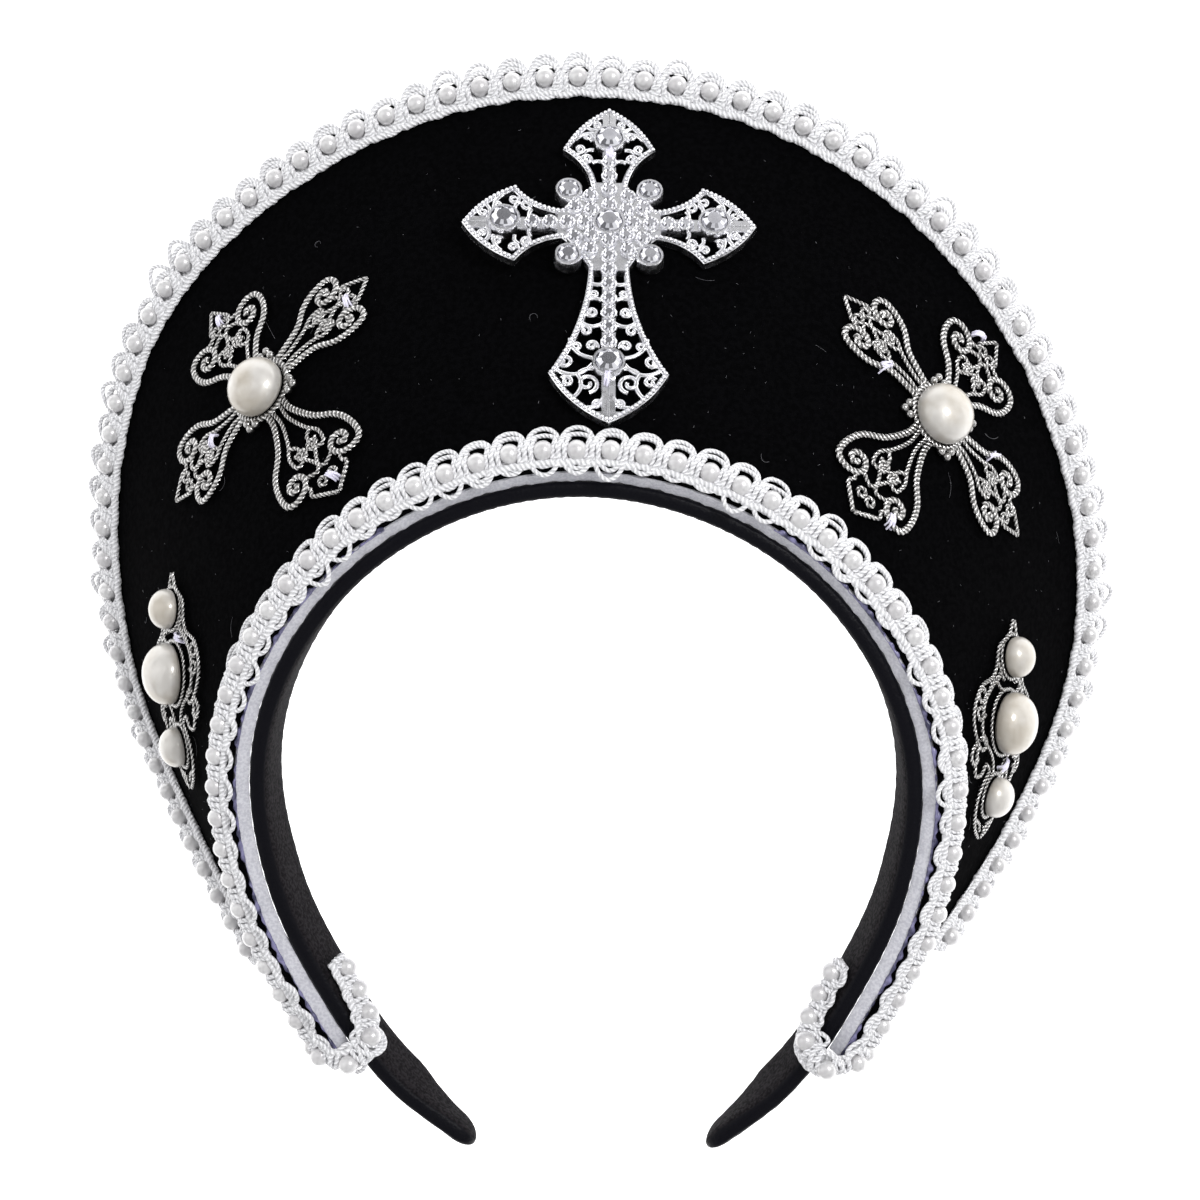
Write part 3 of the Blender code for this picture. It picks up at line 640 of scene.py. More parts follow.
@dataclass(frozen=True)
class Finish:
    """A material: two colours mixed by a grain, a roughness range and the shader's own values."""

    name: str
    light: tuple
    dark: tuple
    rough: tuple
    scale: float
    strength: float
    distance: float = 0.0002
    low: float = 0.4
    high: float = 0.6
    metal: float = 0.0
    coat: float = 0.0
    sheen: float = 0.0
    sheen_rough: float = 0.3
    sheen_tint: tuple = (1.0, 1.0, 1.0)
    specular: float = 0.5
    twist: float = 0.0
    # How far the colour is darkened between twisted strands: painted shade
    groove_shade: float = 0.5
    marked_colour: tuple = ()
    marked_rough: float = 0.5

    def material(self) -> bpy.types.Material:
        """Build the material's nodes and set its values.

        Returns:
            The new material.
        """
        made = bpy.data.materials.new(self.name)
        made.use_nodes = True
        tree = made.node_tree
        shader = tree.nodes["Principled BSDF"]
        values = {
            "Metallic": self.metal, "Coat Weight": self.coat, "Coat Roughness": 0.08,
            "Sheen Weight": self.sheen, "Sheen Roughness": self.sheen_rough,
            "Specular IOR Level": self.specular,
        }
        for name, value in values.items():
            shader.inputs[name].default_value = value
        shader.inputs["Sheen Tint"].default_value = (*self.sheen_tint, 1.0)
        grain = tree.nodes.new("ShaderNodeGroup")
        grain.node_tree = GRAIN
        grain.inputs["Scale"].default_value = self.scale
        grain.inputs["Strength"].default_value = self.strength
        grain.inputs["Distance"].default_value = self.distance
        ramp = tree.nodes.new("ShaderNodeValToRGB")
        ramp.color_ramp.elements[0].position = self.low
        ramp.color_ramp.elements[0].color = (*self.dark, 1.0)
        ramp.color_ramp.elements[1].position = self.high
        ramp.color_ramp.elements[1].color = (*self.light, 1.0)
        spread = tree.nodes.new("ShaderNodeMapRange")
        spread.inputs["From Min"].default_value = self.low
        spread.inputs["From Max"].default_value = self.high
        spread.inputs["To Min"].default_value = self.rough[1]
        spread.inputs["To Max"].default_value = self.rough[0]
        link = tree.links.new
        link(grain.outputs["Mask"], ramp.inputs["Fac"])
        link(grain.outputs["Mask"], spread.inputs["Value"])
        colour = ramp.outputs["Color"]
        rough = spread.outputs["Result"]
        normal = grain.outputs["Normal"]
        if self.twist:
            colour, normal = self.twisted(tree, colour, normal)
        if self.marked_colour:
            colour, rough = self.marked(tree, colour, rough)
        link(colour, shader.inputs["Base Color"])
        link(rough, shader.inputs["Roughness"])
        link(normal, shader.inputs["Normal"])
        made.diffuse_color = (*self.light, 1.0)
        return made

    def twisted(self, tree: bpy.types.NodeTree, colour: bpy.types.NodeSocket,
                normal: bpy.types.NodeSocket) -> tuple:
        """Colour darkened in the grooves between strands as painted shade, and the strands' normal.

        Args:
            tree: The material's nodes.
            colour: The plain colour.
            normal: The plain normal.

        Returns:
            The darkened colour and the new normal.
        """
        strands = tree.nodes.new("ShaderNodeGroup")
        strands.node_tree = TWIST
        strands.inputs["Pitch"].default_value = self.twist
        shade = tree.nodes.new("ShaderNodeMapRange")
        shade.inputs["To Min"].default_value = 1.0 - self.groove_shade
        shade.inputs["To Max"].default_value = 1.0
        darken = tree.nodes.new("ShaderNodeVectorMath")
        darken.operation = "SCALE"
        tree.links.new(normal, strands.inputs["Normal"])
        tree.links.new(strands.outputs["Mask"], shade.inputs["Value"])
        tree.links.new(colour, darken.inputs[0])
        tree.links.new(shade.outputs["Result"], darken.inputs["Scale"])
        return darken.outputs["Vector"], strands.outputs["Normal"]

    def marked(self, tree: bpy.types.NodeTree, colour: bpy.types.NodeSocket,
               rough: bpy.types.NodeSocket) -> tuple:
        """Colour and roughness, changed to the marked ones where the first surface mark is one.

        Args:
            tree: The material's nodes.
            colour: The plain colour.
            rough: The plain roughness.

        Returns:
            The new colour and roughness.
        """
        place = tree.nodes.new("ShaderNodeUVMap")
        place.uv_map = "marks"
        split = tree.nodes.new("ShaderNodeSeparateXYZ")
        tint = tree.nodes.new("ShaderNodeMix")
        tint.data_type = "RGBA"
        tint.inputs[MIX_COLOURS[1]].default_value = (*self.marked_colour, 1.0)
        gloss = tree.nodes.new("ShaderNodeMix")
        gloss.inputs[MIX_NUMBERS[1]].default_value = self.marked_rough
        tree.links.new(place.outputs["UV"], split.inputs["Vector"])
        tree.links.new(split.outputs["X"], tint.inputs[MIX_SHARE])
        tree.links.new(split.outputs["X"], gloss.inputs[MIX_SHARE])
        tree.links.new(colour, tint.inputs[MIX_COLOURS[0]])
        tree.links.new(rough, gloss.inputs[MIX_NUMBERS[0]])
        return tint.outputs[MIX_COLOUR_OUT], gloss.outputs[0]


VELVET = Finish("velvet_pile", (0.0016, 0.0016, 0.0019), (0.0010, 0.0010, 0.0012), (0.9, 1.0), 900.0, 0.4,
                sheen=0.0012, sheen_rough=0.4, specular=0.01)
BAND_VELVET = Finish("band_pile", (0.013, 0.011, 0.013), (0.004, 0.0035, 0.0045), (0.8, 0.95), 1500.0, 0.8,
                     sheen=0.02, sheen_rough=0.35, specular=0.1, marked_colour=(0.0015, 0.0015, 0.0035),
                     marked_rough=0.38)
# The foam's lavender tint is its own, but its colour is lowered from near white to grey as painted shade,
# for the cut strip that lies in shadow between the trims and the band
SHADED_FOAM = Finish("cut_foam_shaded", (0.58, 0.58, 0.62), (0.46, 0.46, 0.51), (0.8, 0.9), 1800.0, 0.35)
# The cord's colour is darkened between its twisted plies: painted shade
CORD = Finish("white_cord", (0.95, 0.95, 0.97), (0.88, 0.88, 0.91), (0.35, 0.5), 3000.0, 0.35,
              distance=0.0001, sheen=0.2, twist=1.0, groove_shade=0.36)
BEAD = Finish("trim_pearl", (0.63, 0.625, 0.63), (0.55, 0.54, 0.55), (0.34, 0.44), 250.0, 0.01, metal=0.3,
              coat=1.0)
IVORY = Finish("cabochon_pearl", (0.58, 0.56, 0.53), (0.47, 0.43, 0.37), (0.45, 0.55), 110.0, 0.01,
               metal=0.35, coat=1.0)
CAST_SILVER = Finish("cast_silver", (0.86, 0.86, 0.88), (0.72, 0.72, 0.75), (0.18, 0.3), 500.0, 0.03,
                     metal=1.0)
# The wires' colour is darkened between their twisted strands: painted shade
AGED_SILVER = Finish("aged_silver", (0.80, 0.79, 0.78), (0.52, 0.51, 0.50), (0.2, 0.34), 900.0, 0.1,
                     metal=1.0, twist=1.05, groove_shade=0.86)
CRYSTAL = Finish("cut_crystal", (0.66, 0.66, 0.70), (0.54, 0.54, 0.58), (0.03, 0.06), 300.0, 0.0, metal=0.85,
                 coat=1.0)
THREAD = Finish("sewing_thread", (0.80, 0.78, 0.90), (0.70, 0.68, 0.82), (0.4, 0.6), 3000.0, 0.4, sheen=0.2)
LINT = Finish("lint", (0.13, 0.13, 0.14), (0.07, 0.07, 0.08), (0.8, 0.9), 900.0, 0.1)
FLOOR = Finish("pale_floor", (0.92, 0.92, 0.92), (0.915, 0.915, 0.915), (0.9, 0.95), 3.0, 0.0)
GLUE = Finish("glue_line", (0.20, 0.19, 0.34), (0.02, 0.02, 0.06), (0.15, 0.4), 420.0, 0.5, coat=0.4)


# Pieces

@dataclass
class FoamBoard:
    """The stiff board, its inner edge cut bare and a little uneven."""

    stations: int = 241
    columns: int = 14
    edge_wobble: float = 0.12

    def build(self) -> None:
        """Grid round the section: front face, outer edge, back face, cut inner edge."""
        angles = np.linspace(-BOARD_END, BOARD_END, self.stations)
        width = board_width(angles)
        wobble = self.edge_wobble * (np.sin(angles * 0.9) + np.sin(angles * 2.3 + 1.0))
        across = np.linspace(0.0, 1.0, self.columns)
        front_run = across[None, :] * width[:, None]
        back_run = front_run[:, ::-1]
        run = np.concatenate([front_run, back_run], 1)
        run[:, 0] += wobble
        run[:, -1] += wobble
        rise = np.concatenate([np.zeros(self.columns), np.full(self.columns, -FOAM_THICK)])
        grid = board_point(angles[:, None], run, np.broadcast_to(rise, run.shape))
        shape = Shape.empty()
        shape.add_grid(grid, wrap_columns=True, caps=True)
        shape.build("foam_sheet", SHADED_FOAM.material(), "foam", ("foam_board",))


@dataclass
class GlueLine:
    """The uneven dark seam of glue between the velvet's cut edge and the foam, down both sides."""

    first: float = 40.0
    last: float = BOARD_END - 0.3
    waves: tuple = (0.31, 0.67, 1.3, 2.9)
    radius: float = 0.30
    swing: float = 0.2
    thinnest: float = 0.06
    thickest: float = 0.75
    step: float = 0.35
    seed: int = 3

    def build(self) -> None:
        """A bead along the foam's front corner whose radius wanders as a sum of slow waves."""
        rng = np.random.default_rng(self.seed)
        shape = Shape.empty()
        bead = Cord(radius=1.0, pitch=9.0, depth=0.0, sides=8)
        for side in Side:
            angles = side.value * np.linspace(self.first, self.last, 420)
            wander = sum(rng.uniform(0.5, 1.0) * np.sin(angles * rate + rng.uniform(0.0, 6.3))
                         for rate in self.waves)
            line = board_point(angles, -0.1 + 0.12 * wander, 0.15 + 0.1 * wander)
            above = board_point(angles, 0.0, 1.0) - board_point(angles, 0.0, 0.0)
            both = evenly(np.concatenate([line, above, wander[:, None]], 1), self.step)
            grid, marks = bead.tube(both[:, :3], unit(both[:, 3:6]))
            middle = both[:, None, :3]
            radius = np.clip(self.radius + self.swing * both[:, 6:7, None], self.thinnest, self.thickest)
            shape.add_grid(middle + (grid - middle) * radius, wrap_columns=True, caps=True, marks=marks)
        shape.build("glue_seam", GLUE.material(), "foam")


@dataclass
class VelvetCover:
    """Velvet glued over the front and turned over the outer edge onto the back."""

    stations: int = 301
    flap: float = 9.0
    start: float = 0.2
    fold_from: float = 0.4
    fold_round: float = 0.9
    ripple: float = 0.05
    flat_size: tuple = (0.30, 0.28)
    flat_area: float = 0.0446

    def build(self) -> None:
        """Section: front outwards, a round fold over the edge, the flap, and back again inside."""
        angles = np.linspace(-BOARD_END, BOARD_END, self.stations)
        width = board_width(angles)[:, None]
        flap = np.minimum(self.flap, 0.45 * width) * (1.0 + 0.06 * np.sin(angles * 0.7))[:, None]
        share = np.linspace(0.0, 1.0, 22)[None, :]
        fold = np.linspace(QUARTER, -QUARTER, 9)[None, :]
        back = fold[:, ::-1]
        inside = 0.5 * (FOAM_THICK + 2 * GAP)
        outside = inside + VELVET_THICK
        middle = -0.5 * FOAM_THICK
        bend = width - self.fold_from
        cut = width - flap
        section = (
            (self.start + share * (bend - self.start), middle + outside),
            (bend + self.fold_round * outside * np.cos(fold), middle + outside * np.sin(fold)),
            (cut, middle - outside),
            (cut, middle - inside),
            (bend + self.fold_round * inside * np.cos(back), middle + inside * np.sin(back)),
            (self.start + share[:, ::-1] * (bend - self.start), middle + inside),
        )
        pairs = [np.broadcast_arrays(run, rise) for run, rise in section]
        run, rise = (np.concatenate(rows, 1) for rows in zip(*pairs))
        rise = rise + self.ripple * np.sin(angles * 1.3)[:, None] * np.sin(run * 0.11)
        grid = board_point(angles[:, None], run, rise)
        shape = Shape.empty()
        shape.add_grid(grid, wrap_columns=True, caps=True)
        made = shape.build("velvet_sheet", VELVET.material(), "velvet", ("velvet_cover",))


@dataclass
class Headband:
    """The padded band: a rounded section, narrower and turned forward at its ends."""

    stations: int = 261
    sides: int = 28
    swell: float = 0.5
    squareness: float = 0.45
    splay: float = 0.22
    splay_from: float = 50.0
    splay_over: float = 60.0
    pucker: float = 0.07
    tip: float = 0.66
    front_depth: float = 0.75

    def section(self, angle: Array) -> tuple[Array, Array]:
        """Out and depth of the rounded section: a rounded rectangle, turned past the twist's start.

        Args:
            angle: Degrees round the arch, zero at its top.

        Returns:
            Distance out of the band and distance to its front, by angle.
        """
        past = (np.abs(angle)[:, None] - BAND_TWIST_FROM) / (BAND_END_ANGLE - BAND_TWIST_FROM)
        past = np.clip(past, 0.0, 1.0)
        width = BAND_WIDTH + (BAND_END_WIDTH - BAND_WIDTH) * past
        turn = np.linspace(0.0, TURN, self.sides, endpoint=False)[None, :]
        thick = BAND_THICK + self.swell
        out = 0.5 * thick * np.sign(np.cos(turn)) * np.abs(np.cos(turn)) ** self.squareness
        deep = 0.5 * width * np.sign(np.sin(turn)) * np.abs(np.sin(turn)) ** self.squareness
        lean = np.radians(BAND_TWIST) * past
        opened = np.clip((np.abs(angle)[:, None] - self.splay_from) / self.splay_over, 0.0, 1.0)
        spread = self.splay * opened * (0.5 - out / thick) * (deep - 0.5 * width)
        return (0.5 * thick + out * np.cos(lean) - deep * np.sin(lean) + spread,
                -0.5 * width + out * np.sin(lean) + deep * np.cos(lean))

    def build(self) -> None:
        """Sections along the arch, with both ends drawn in to a round."""
        angles = np.linspace(-BAND_END_ANGLE, BAND_END_ANGLE, self.stations)
        out, deep = self.section(angles)
        pucker = np.sin(angles * 2.1)[:, None] * np.sin(np.linspace(0, 3 * TURN, self.sides))
        reach = out + self.pucker * pucker
        grid = band_point(angles)[:, None] + band_outward(angles)[:, None] * reach[..., None]
        grid = grid + FRONT * deep[..., None]
        ends = []
        for last, near in ((grid[0], grid[1]), (grid[-1], grid[-2])):
            ahead = unit(last.mean(0) - near.mean(0))
            share = np.sin(np.linspace(0.0, QUARTER, 9))[1:, None, None]
            shrink = np.sqrt(1.0 - share ** 2) * 0.97 + 0.03
            middle = last.mean(0)
            ends.append(middle + (last - middle) * shrink + ahead * share * self.tip * BAND_END_WIDTH)
        grid = np.concatenate([ends[0][::-1], grid, ends[1]])
        shape = Shape.empty()
        front = deep[0] > deep[0].max() - self.front_depth
        marks = np.stack([np.broadcast_to(1.0 * front, grid.shape[:2]), np.zeros(grid.shape[:2])], -1)
        shape.add_grid(grid, wrap_columns=True, caps=True, marks=marks)
        made = shape.build("padded_band", BAND_VELVET.material(), "band_velvet", ("headband",))


@dataclass(frozen=True)
class Edge:
    """One side of a braid.

    Its loops' reaches, how much they rise or hang, how square they are, how far they vary,
    and where its stout rope lies, if it has one.
    """

    reaches: tuple
    flare: float = 0.0
    power: float = 0.8
    vary: float = 0.07
    rope: float = 0.0


@dataclass
class Lace:
    """A braid of twisted cords: loops swing out on both sides of each pearl and cross at knots."""

    far: Edge
    near: Edge
    pitch: float = 7.0
    cord: Cord = Cord(radius=0.5, pitch=1.7, depth=0.12, sides=7)
    rope: Cord = Cord(radius=0.85, pitch=1.9, depth=0.3, sides=9)
    ground: Cord = Cord(radius=2.9, pitch=1.7, depth=0.0, sides=16, flat=0.2)
    step: float = 0.45
    pearl: float = 2.1
    sunk: float = 0.0
    ground_shift: float = 0.0
    bulge: float = 0.7
    base: float = 0.6
    knot_cords: tuple = ((-1.2, 0.45), (-0.6, -0.5), (0.0, 0.5), (0.6, -0.5), (1.2, 0.45))
    knot_base: float = 0.5
    knot_rise: float = 2.5
    knot_half: float = 2.5
    pearl_gap: float = 0.35
    pearl_stray: float = 0.15
    seed: int = 5

    def strands(self, centre: Array, side: Array, up: Array, along: Array) -> list:
        """Paths of the cords.

        A cord's offset is its reach times the sine of the distance in pearl pitches, drawn
        towards round, so that it crosses the middle at each knot. Its height rises over
        the knot, and grows or falls with the offset by the edge's flare.

        Args:
            centre: Middle line of the braid.
            side: Unit direction across it, towards its far edge.
            up: Unit direction away from what it lies on.
            along: Distance along the middle line.

        Returns:
            The paths.
        """
        rng = np.random.default_rng(self.seed)
        phase = math.pi * along / self.pitch
        knot = np.cos(phase) ** 2
        cells = int(along[-1] / self.pitch) + 3
        ahead = unit(np.gradient(centre, axis=0))
        found = []
        for order in range(len(self.far.reaches)):
            for way in (-1.0, 1.0):
                wave = way * np.sin(phase)
                offset = 0.0 * wave
                flare = 0.0 * wave
                for edge, sign in ((self.far, 1.0), (self.near, -1.0)):
                    vary = 1.0 + edge.vary * rng.standard_normal(cells)
                    swing = edge.reaches[order] * np.interp(along / self.pitch - 0.5, np.arange(cells), vary)
                    share = np.clip(sign * wave, 0.0, 1.0) ** edge.power
                    offset = offset + sign * swing * share
                    flare = flare + edge.flare * swing * share ** 2
                crossing = knot * (0.8 + 0.4 * order + 0.3 * way * np.cos(phase))
                lift = self.base + 0.2 * order + crossing + flare
                slide = -self.bulge * np.sin(2.0 * phase) * (1.0 - 0.4 * order)
                found.append(centre + side * offset[:, None] + up * lift[:, None] + ahead * slide[:, None])
        return found

    def ropes(self, centre: Array, side: Array, up: Array, along: Array) -> list:
        """Paths of the stout ropes along the edges, waving a little with the loops.

        Args:
            centre: Middle line of the braid.
            side: Directions across it.
            up: Directions away from what it lies on.
            along: Distance along the middle line.

        Returns:
            The paths.
        """
        wave = 0.22 * np.cos(TURN * along / self.pitch) + 0.1 * np.sin(along * 0.9)
        found = []
        for edge, sign in ((self.far, 1.0), (self.near, -1.0)):
            if edge.rope:
                aside = sign * (edge.rope + wave)
                lift = self.rope.radius - 0.3 * wave
                found.append(centre + side * aside[:, None] + up * lift[:, None])
        return found

    def add_knot(self, shape: Shape, place: float, length: Array, centre: Array, side: Array,
                 up: Array) -> None:
        """A plaited knot: short slanting cords that arch over the middle line.

        Args:
            shape: The shape that it is added to.
            place: Its distance along the braid.
            length: Distance along, for each point of the middle line.
            centre: Middle line of the braid.
            side: Directions across it.
            up: Directions away from what it lies on.
        """
        share = np.linspace(-1.0, 1.0, 9)
        for shift, slant in self.knot_cords:
            along = np.clip(place + shift + slant * share, 0.0, length[-1])
            spot = read_rows(along, length, centre)
            over = unit(read_rows(along, length, up))
            across = unit(read_rows(along, length, side))
            lift = self.knot_base + (self.knot_rise - 0.35 * abs(shift)) * np.sqrt(1.0 - 0.92 * share ** 2)
            path = evenly(spot + across * (self.knot_half * share)[:, None] + over * lift[:, None], 0.5)
            add_cord(shape, self.cord, path, over[4])

    def build(self, name: str, centre: Array, side: Array, up: Array, replaces: tuple,
              cord_finish: bpy.types.Material, bead_finish: bpy.types.Material) -> int:
        """Make the cords as one piece, the knots as another and the pearls as a third.

        Args:
            name: Start of the pieces' names.
            centre: Middle line of the braid, in fine steps.
            side: Directions across it.
            up: Directions away from what it lies on.
            replaces: Nodes that the cords stand for.
            cord_finish: The cords' material.
            bead_finish: The pearls' material.

        Returns:
            How many pearls there are.
        """
        length = distance_along(centre)
        pearls = max(1, int(round(length[-1] / self.pitch)))
        lace = replace(self, pitch=length[-1] / pearls)
        cords = Shape.empty()
        lines = [(path, self.cord) for path in lace.strands(centre, side, up, length)]
        lines += [(path, self.rope) for path in lace.ropes(centre, side, up, length)]
        lines.append((centre + up * self.base + side * self.ground_shift, self.ground))
        for path, cord in lines:
            both = evenly(np.concatenate([path, up], 1), self.step)
            add_cord(cords, cord, both[:, :3], unit(both[:, 3:]))
        cords.build(name + "_cords", cord_finish, "braid", replaces, sharp=80.0)
        knots = Shape.empty()
        for place in np.arange(pearls + 1) * lace.pitch:
            lace.add_knot(knots, place, length, centre, side, up)
        knots.build(name + "_knots", cord_finish, "braid", sharp=80.0)
        beads = Shape.empty()
        rng = np.random.default_rng(self.seed + 40)
        for place in (np.arange(pearls) + 0.5) * lace.pitch:
            over = unit(read_rows(place, length, up))
            across = unit(read_rows(place, length, side))
            aside = self.pearl_stray * rng.standard_normal() - self.sunk
            spot = read_rows(place, length, centre) + across * aside
            lift = self.pearl + self.pearl_gap - self.sunk
            add_ball(beads, spot + over * lift, self.pearl, over, 16, 11)
        beads.build(name + "_pearls", bead_finish, "braid")
        return pearls


@dataclass
class Trims:
    """The two long trims on the board and their ends wound round the headband."""

    inner_centre: float = 4.0
    outer_inset: float = 4.2
    outer_ends: tuple = (-127.0, 124.0)

    def board_lines(self, first: float, last: float, inner: bool) -> tuple[Array, Array, Array]:
        """Middle line of a trim on the board, with its directions across and up.

        Args:
            first: Degrees at which it starts.
            last: Degrees at which it ends.
            inner: Whether it lies by the inner edge.

        Returns:
            Middle line, directions across and directions up.
        """
        angles = np.linspace(first, last, 4200)
        run = self.inner_centre + 0.0 * angles if inner else board_width(angles) - self.outer_inset
        centre = board_point(angles, run, VELVET_FACE + 0.1)
        side = unit(board_point(angles, run + 1.0, VELVET_FACE) - board_point(angles, run, VELVET_FACE))
        up = unit(board_point(angles, run, VELVET_FACE + 1.0) - board_point(angles, run, VELVET_FACE))
        return centre, side, up

    def wrap_lines(self, way: int) -> tuple[Array, Array, Array]:
        """Middle line of a trim's end: off the board, over the band's front edge and up its inner face.

        Args:
            way: Minus one for the left end, one for the right.

        Returns:
            Middle line, directions across and directions up.
        """
        stops = np.array([  # Degrees round the band, millimetres out of it and in front of it
            (140.0, 8.6, -0.8), (142.0, 7.0, 1.2), (143.3, 4.8, 2.2), (143.8, 2.6, 2.2), (143.6, 0.5, 1.2),
            (142.3, -0.8, -0.7), (140.4, -1.1, -2.4), (137.2, -1.2, -3.5), (134.0, -1.1, -4.3),
            (130.6, -1.0, -4.9),
        ])
        path = evenly(spline(stops, 40), 0.05)
        angle = way * path[:, 0]
        out = band_outward(angle)
        centre = evenly(band_point(angle) + out * path[:, 1:2] + FRONT * path[:, 2:3], 0.12)
        share = np.linspace(0.0, 1.0, len(centre))
        old = np.linspace(0.0, 1.0, len(path))
        half_thick = 0.5 * BAND_THICK
        half_width = 0.5 * BAND_WIDTH
        away = out * ((path[:, 1:2] - half_thick) / half_thick)
        away = away + FRONT * ((path[:, 2:3] + half_width) / half_width)
        up = unit(read_rows(share, old, away))
        ahead = unit(np.gradient(centre, axis=0))
        up = unit(up - ahead * np.sum(up * ahead, 1, keepdims=True))
        return centre, np.cross(ahead, up), up

    def build(self) -> None:
        """Lay both trims and both wound ends."""
        cord = CORD.material()
        bead = BEAD.material()
        inner_far = Edge((4.8, 3.6), flare=0.1)
        inner_near = Edge((4.8, 3.6), flare=-0.12, vary=0.16, rope=3.0)
        inner = self.board_lines(-BOARD_END, BOARD_END, True)
        narrow = Cord(radius=1.9, pitch=1.7, depth=0.0, sides=16, flat=0.25)
        lace = Lace(inner_far, inner_near, pitch=6.6, ground=narrow, ground_shift=-1.0, sunk=0.6)
        count = lace.build("inner_lace", *inner, ("inner_trim",), cord, bead)
        LOG.info("inner trim has %d pearls", count)
        outer_far = Edge((5.1, 4.1, 3.2), flare=0.55, vary=0.1)
        outer_near = Edge((3.5, 3.0, 2.4), power=0.45, rope=3.2)
        outer = self.board_lines(*self.outer_ends, False)
        lace = Lace(outer_far, outer_near, step=0.55, seed=9)
        count = lace.build("outer_lace", *outer, ("outer_trim",), cord, bead)
        LOG.info("outer trim has %d pearls", count)
        wound_edge = Edge((3.4, 2.5), vary=0.15, rope=2.4)
        for side in Side:
            name = "wrap_" + side.name.lower()
            wound = Lace(Edge((3.6, 2.6), vary=0.15), wound_edge, pitch=4.9, knot_half=2.2, bulge=0.45,
                         seed=13 + side.value)
            wound.build(name + "_lace", *self.wrap_lines(side.value), (name,), cord, bead)


@dataclass
class CastCross:
    """The large cast cross: a pierced plate, its beaded rim, scrolls, cups and cut stones."""

    thick: float = 2.2
    bevel: float = 0.22
    cup_height: float = 1.2
    collar: float = 1.42
    small_stone: float = 1.24
    bead: float = 0.47
    rim: float = 1.25
    spine: float = 1.5

    # An arm: its tip, corner along and across, neck's half width and place along, and bow
    short: tuple = (30.4, 19.4, 9.7, 3.7, 9.8, 0.11)
    long: tuple = (49.3, 37.4, 12.1, 4.1, 11.0, 0.065)
    wire: Cord = Cord(radius=0.5, pitch=9.0, depth=0.0, sides=8)

    # Curls of an arm: across, along, radius, first direction and sweep in degrees
    short_curls: tuple = (
        (4.6, 16.9, 1.15, 20.0, 400.0),
        (6.2, 19.7, 1.1, 300.0, -400.0),
        (4.6, 22.9, 1.1, 250.0, -380.0),
        (2.7, 26.0, 0.95, 20.0, 400.0),
    )
    long_curls: tuple = (
        (3.0, 17.6, 0.85, 0.0, 400.0),
        (3.5, 22.2, 1.15, 30.0, 420.0),
        (4.7, 26.9, 1.3, 340.0, -400.0),
        (3.4, 30.6, 1.25, 150.0, 420.0),
        (8.7, 34.3, 1.5, 20.0, 430.0),
        (6.5, 30.6, 1.0, 20.0, 380.0),
        (4.3, 39.8, 2.3, 100.0, 460.0),
        (8.4, 39.4, 1.3, 330.0, -400.0),
        (2.3, 44.8, 1.0, 200.0, 400.0),
    )

    # Bars of an arm: from across, from along, to across, to along, and bow
    short_bars: tuple = (
        (1.0, 16.0, 3.6, 16.0, 0.2),
        (3.2, 19.4, 5.4, 18.4, 0.2),
        (3.2, 23.8, 7.2, 22.0, 0.15),
        (1.0, 25.3, 4.6, 25.4, -0.2),
        (0.0, 25.0, 0.0, 29.5, 0.0),
    )
    long_bars: tuple = (
        (1.0, 15.2, 4.0, 14.9, 0.1),
        (1.0, 19.7, 4.7, 19.4, -0.2),
        (1.0, 24.8, 5.9, 24.4, 0.25),
        (3.0, 33.6, 7.8, 28.9, 0.2),
        (3.2, 35.0, 10.8, 36.4, 0.25),
        (1.0, 37.6, 6.0, 37.2, -0.25),
        (6.4, 37.4, 6.8, 43.0, 0.2),
        (1.0, 43.0, 4.4, 45.6, 0.2),
        (0.0, 37.0, 0.0, 48.5, 0.0),
    )

    def field(self, sizes: tuple) -> Array:
        """The open field on one side of an arm, between its rim and its spine.

        Args:
            sizes: The arm's sizes.

        Returns:
            Its outline.
        """
        outline = self.arm(sizes)
        inner = self.inset(outline, self.rim)
        inner = inner[(inner[:, 0] > self.spine) & (inner[:, 1] > sizes[4] + 0.4)]
        foot = np.array([[self.spine, inner[-1, 1]], [self.spine, inner[0, 1]]])
        return np.concatenate([inner, foot])[::-1]

    def scrolls(self) -> list:
        """Lines of all curls and bars; a curl's radius shrinks evenly along its sweep.

        Returns:
            Lines of pairs across and along.
        """
        found = []
        arms = ((self.short_curls, self.short_bars, 0), (self.short_curls, self.short_bars, 90),
                (self.long_curls, self.long_bars, 180), (self.short_curls, self.short_bars, 270))
        for curls, bars, turn in arms:
            lines = []
            for across, along, radius, first, sweep in curls:
                t = np.radians(first + sweep * np.linspace(0.0, 1.0, 26))
                reach = radius * np.linspace(1.0, 0.25, 26)
                lines.append(np.stack([across + reach * np.cos(t), along + reach * np.sin(t)], -1))
            for x0, y0, x1, y1, bow in bars:
                lines.append(np.concatenate([[(x0, y0)], self.bowed((x0, y0), (x1, y1), bow, 8)]))
            for line in lines:
                found.append(flat_turn(line, turn))
                found.append(flat_turn(line * (-1.0, 1.0), turn))
        return found

    def arm(self, sizes: tuple) -> Array:
        """Outline of an arm along Y: bowed sides out to the corners, then bulging to the tip.

        Args:
            sizes: The arm's sizes.

        Returns:
            Its outline.
        """
        tip, corner_along, corner_across, neck_half, neck_along, bow = sizes
        rail = self.bowed((neck_half, neck_along), (corner_across, corner_along), bow, 12)
        end = self.bowed((corner_across, corner_along), (0.0, tip), -0.09, 10)
        right = np.concatenate([[(neck_half, neck_along)], rail, end])
        return np.concatenate([right, right[-2::-1] * (-1.0, 1.0)])

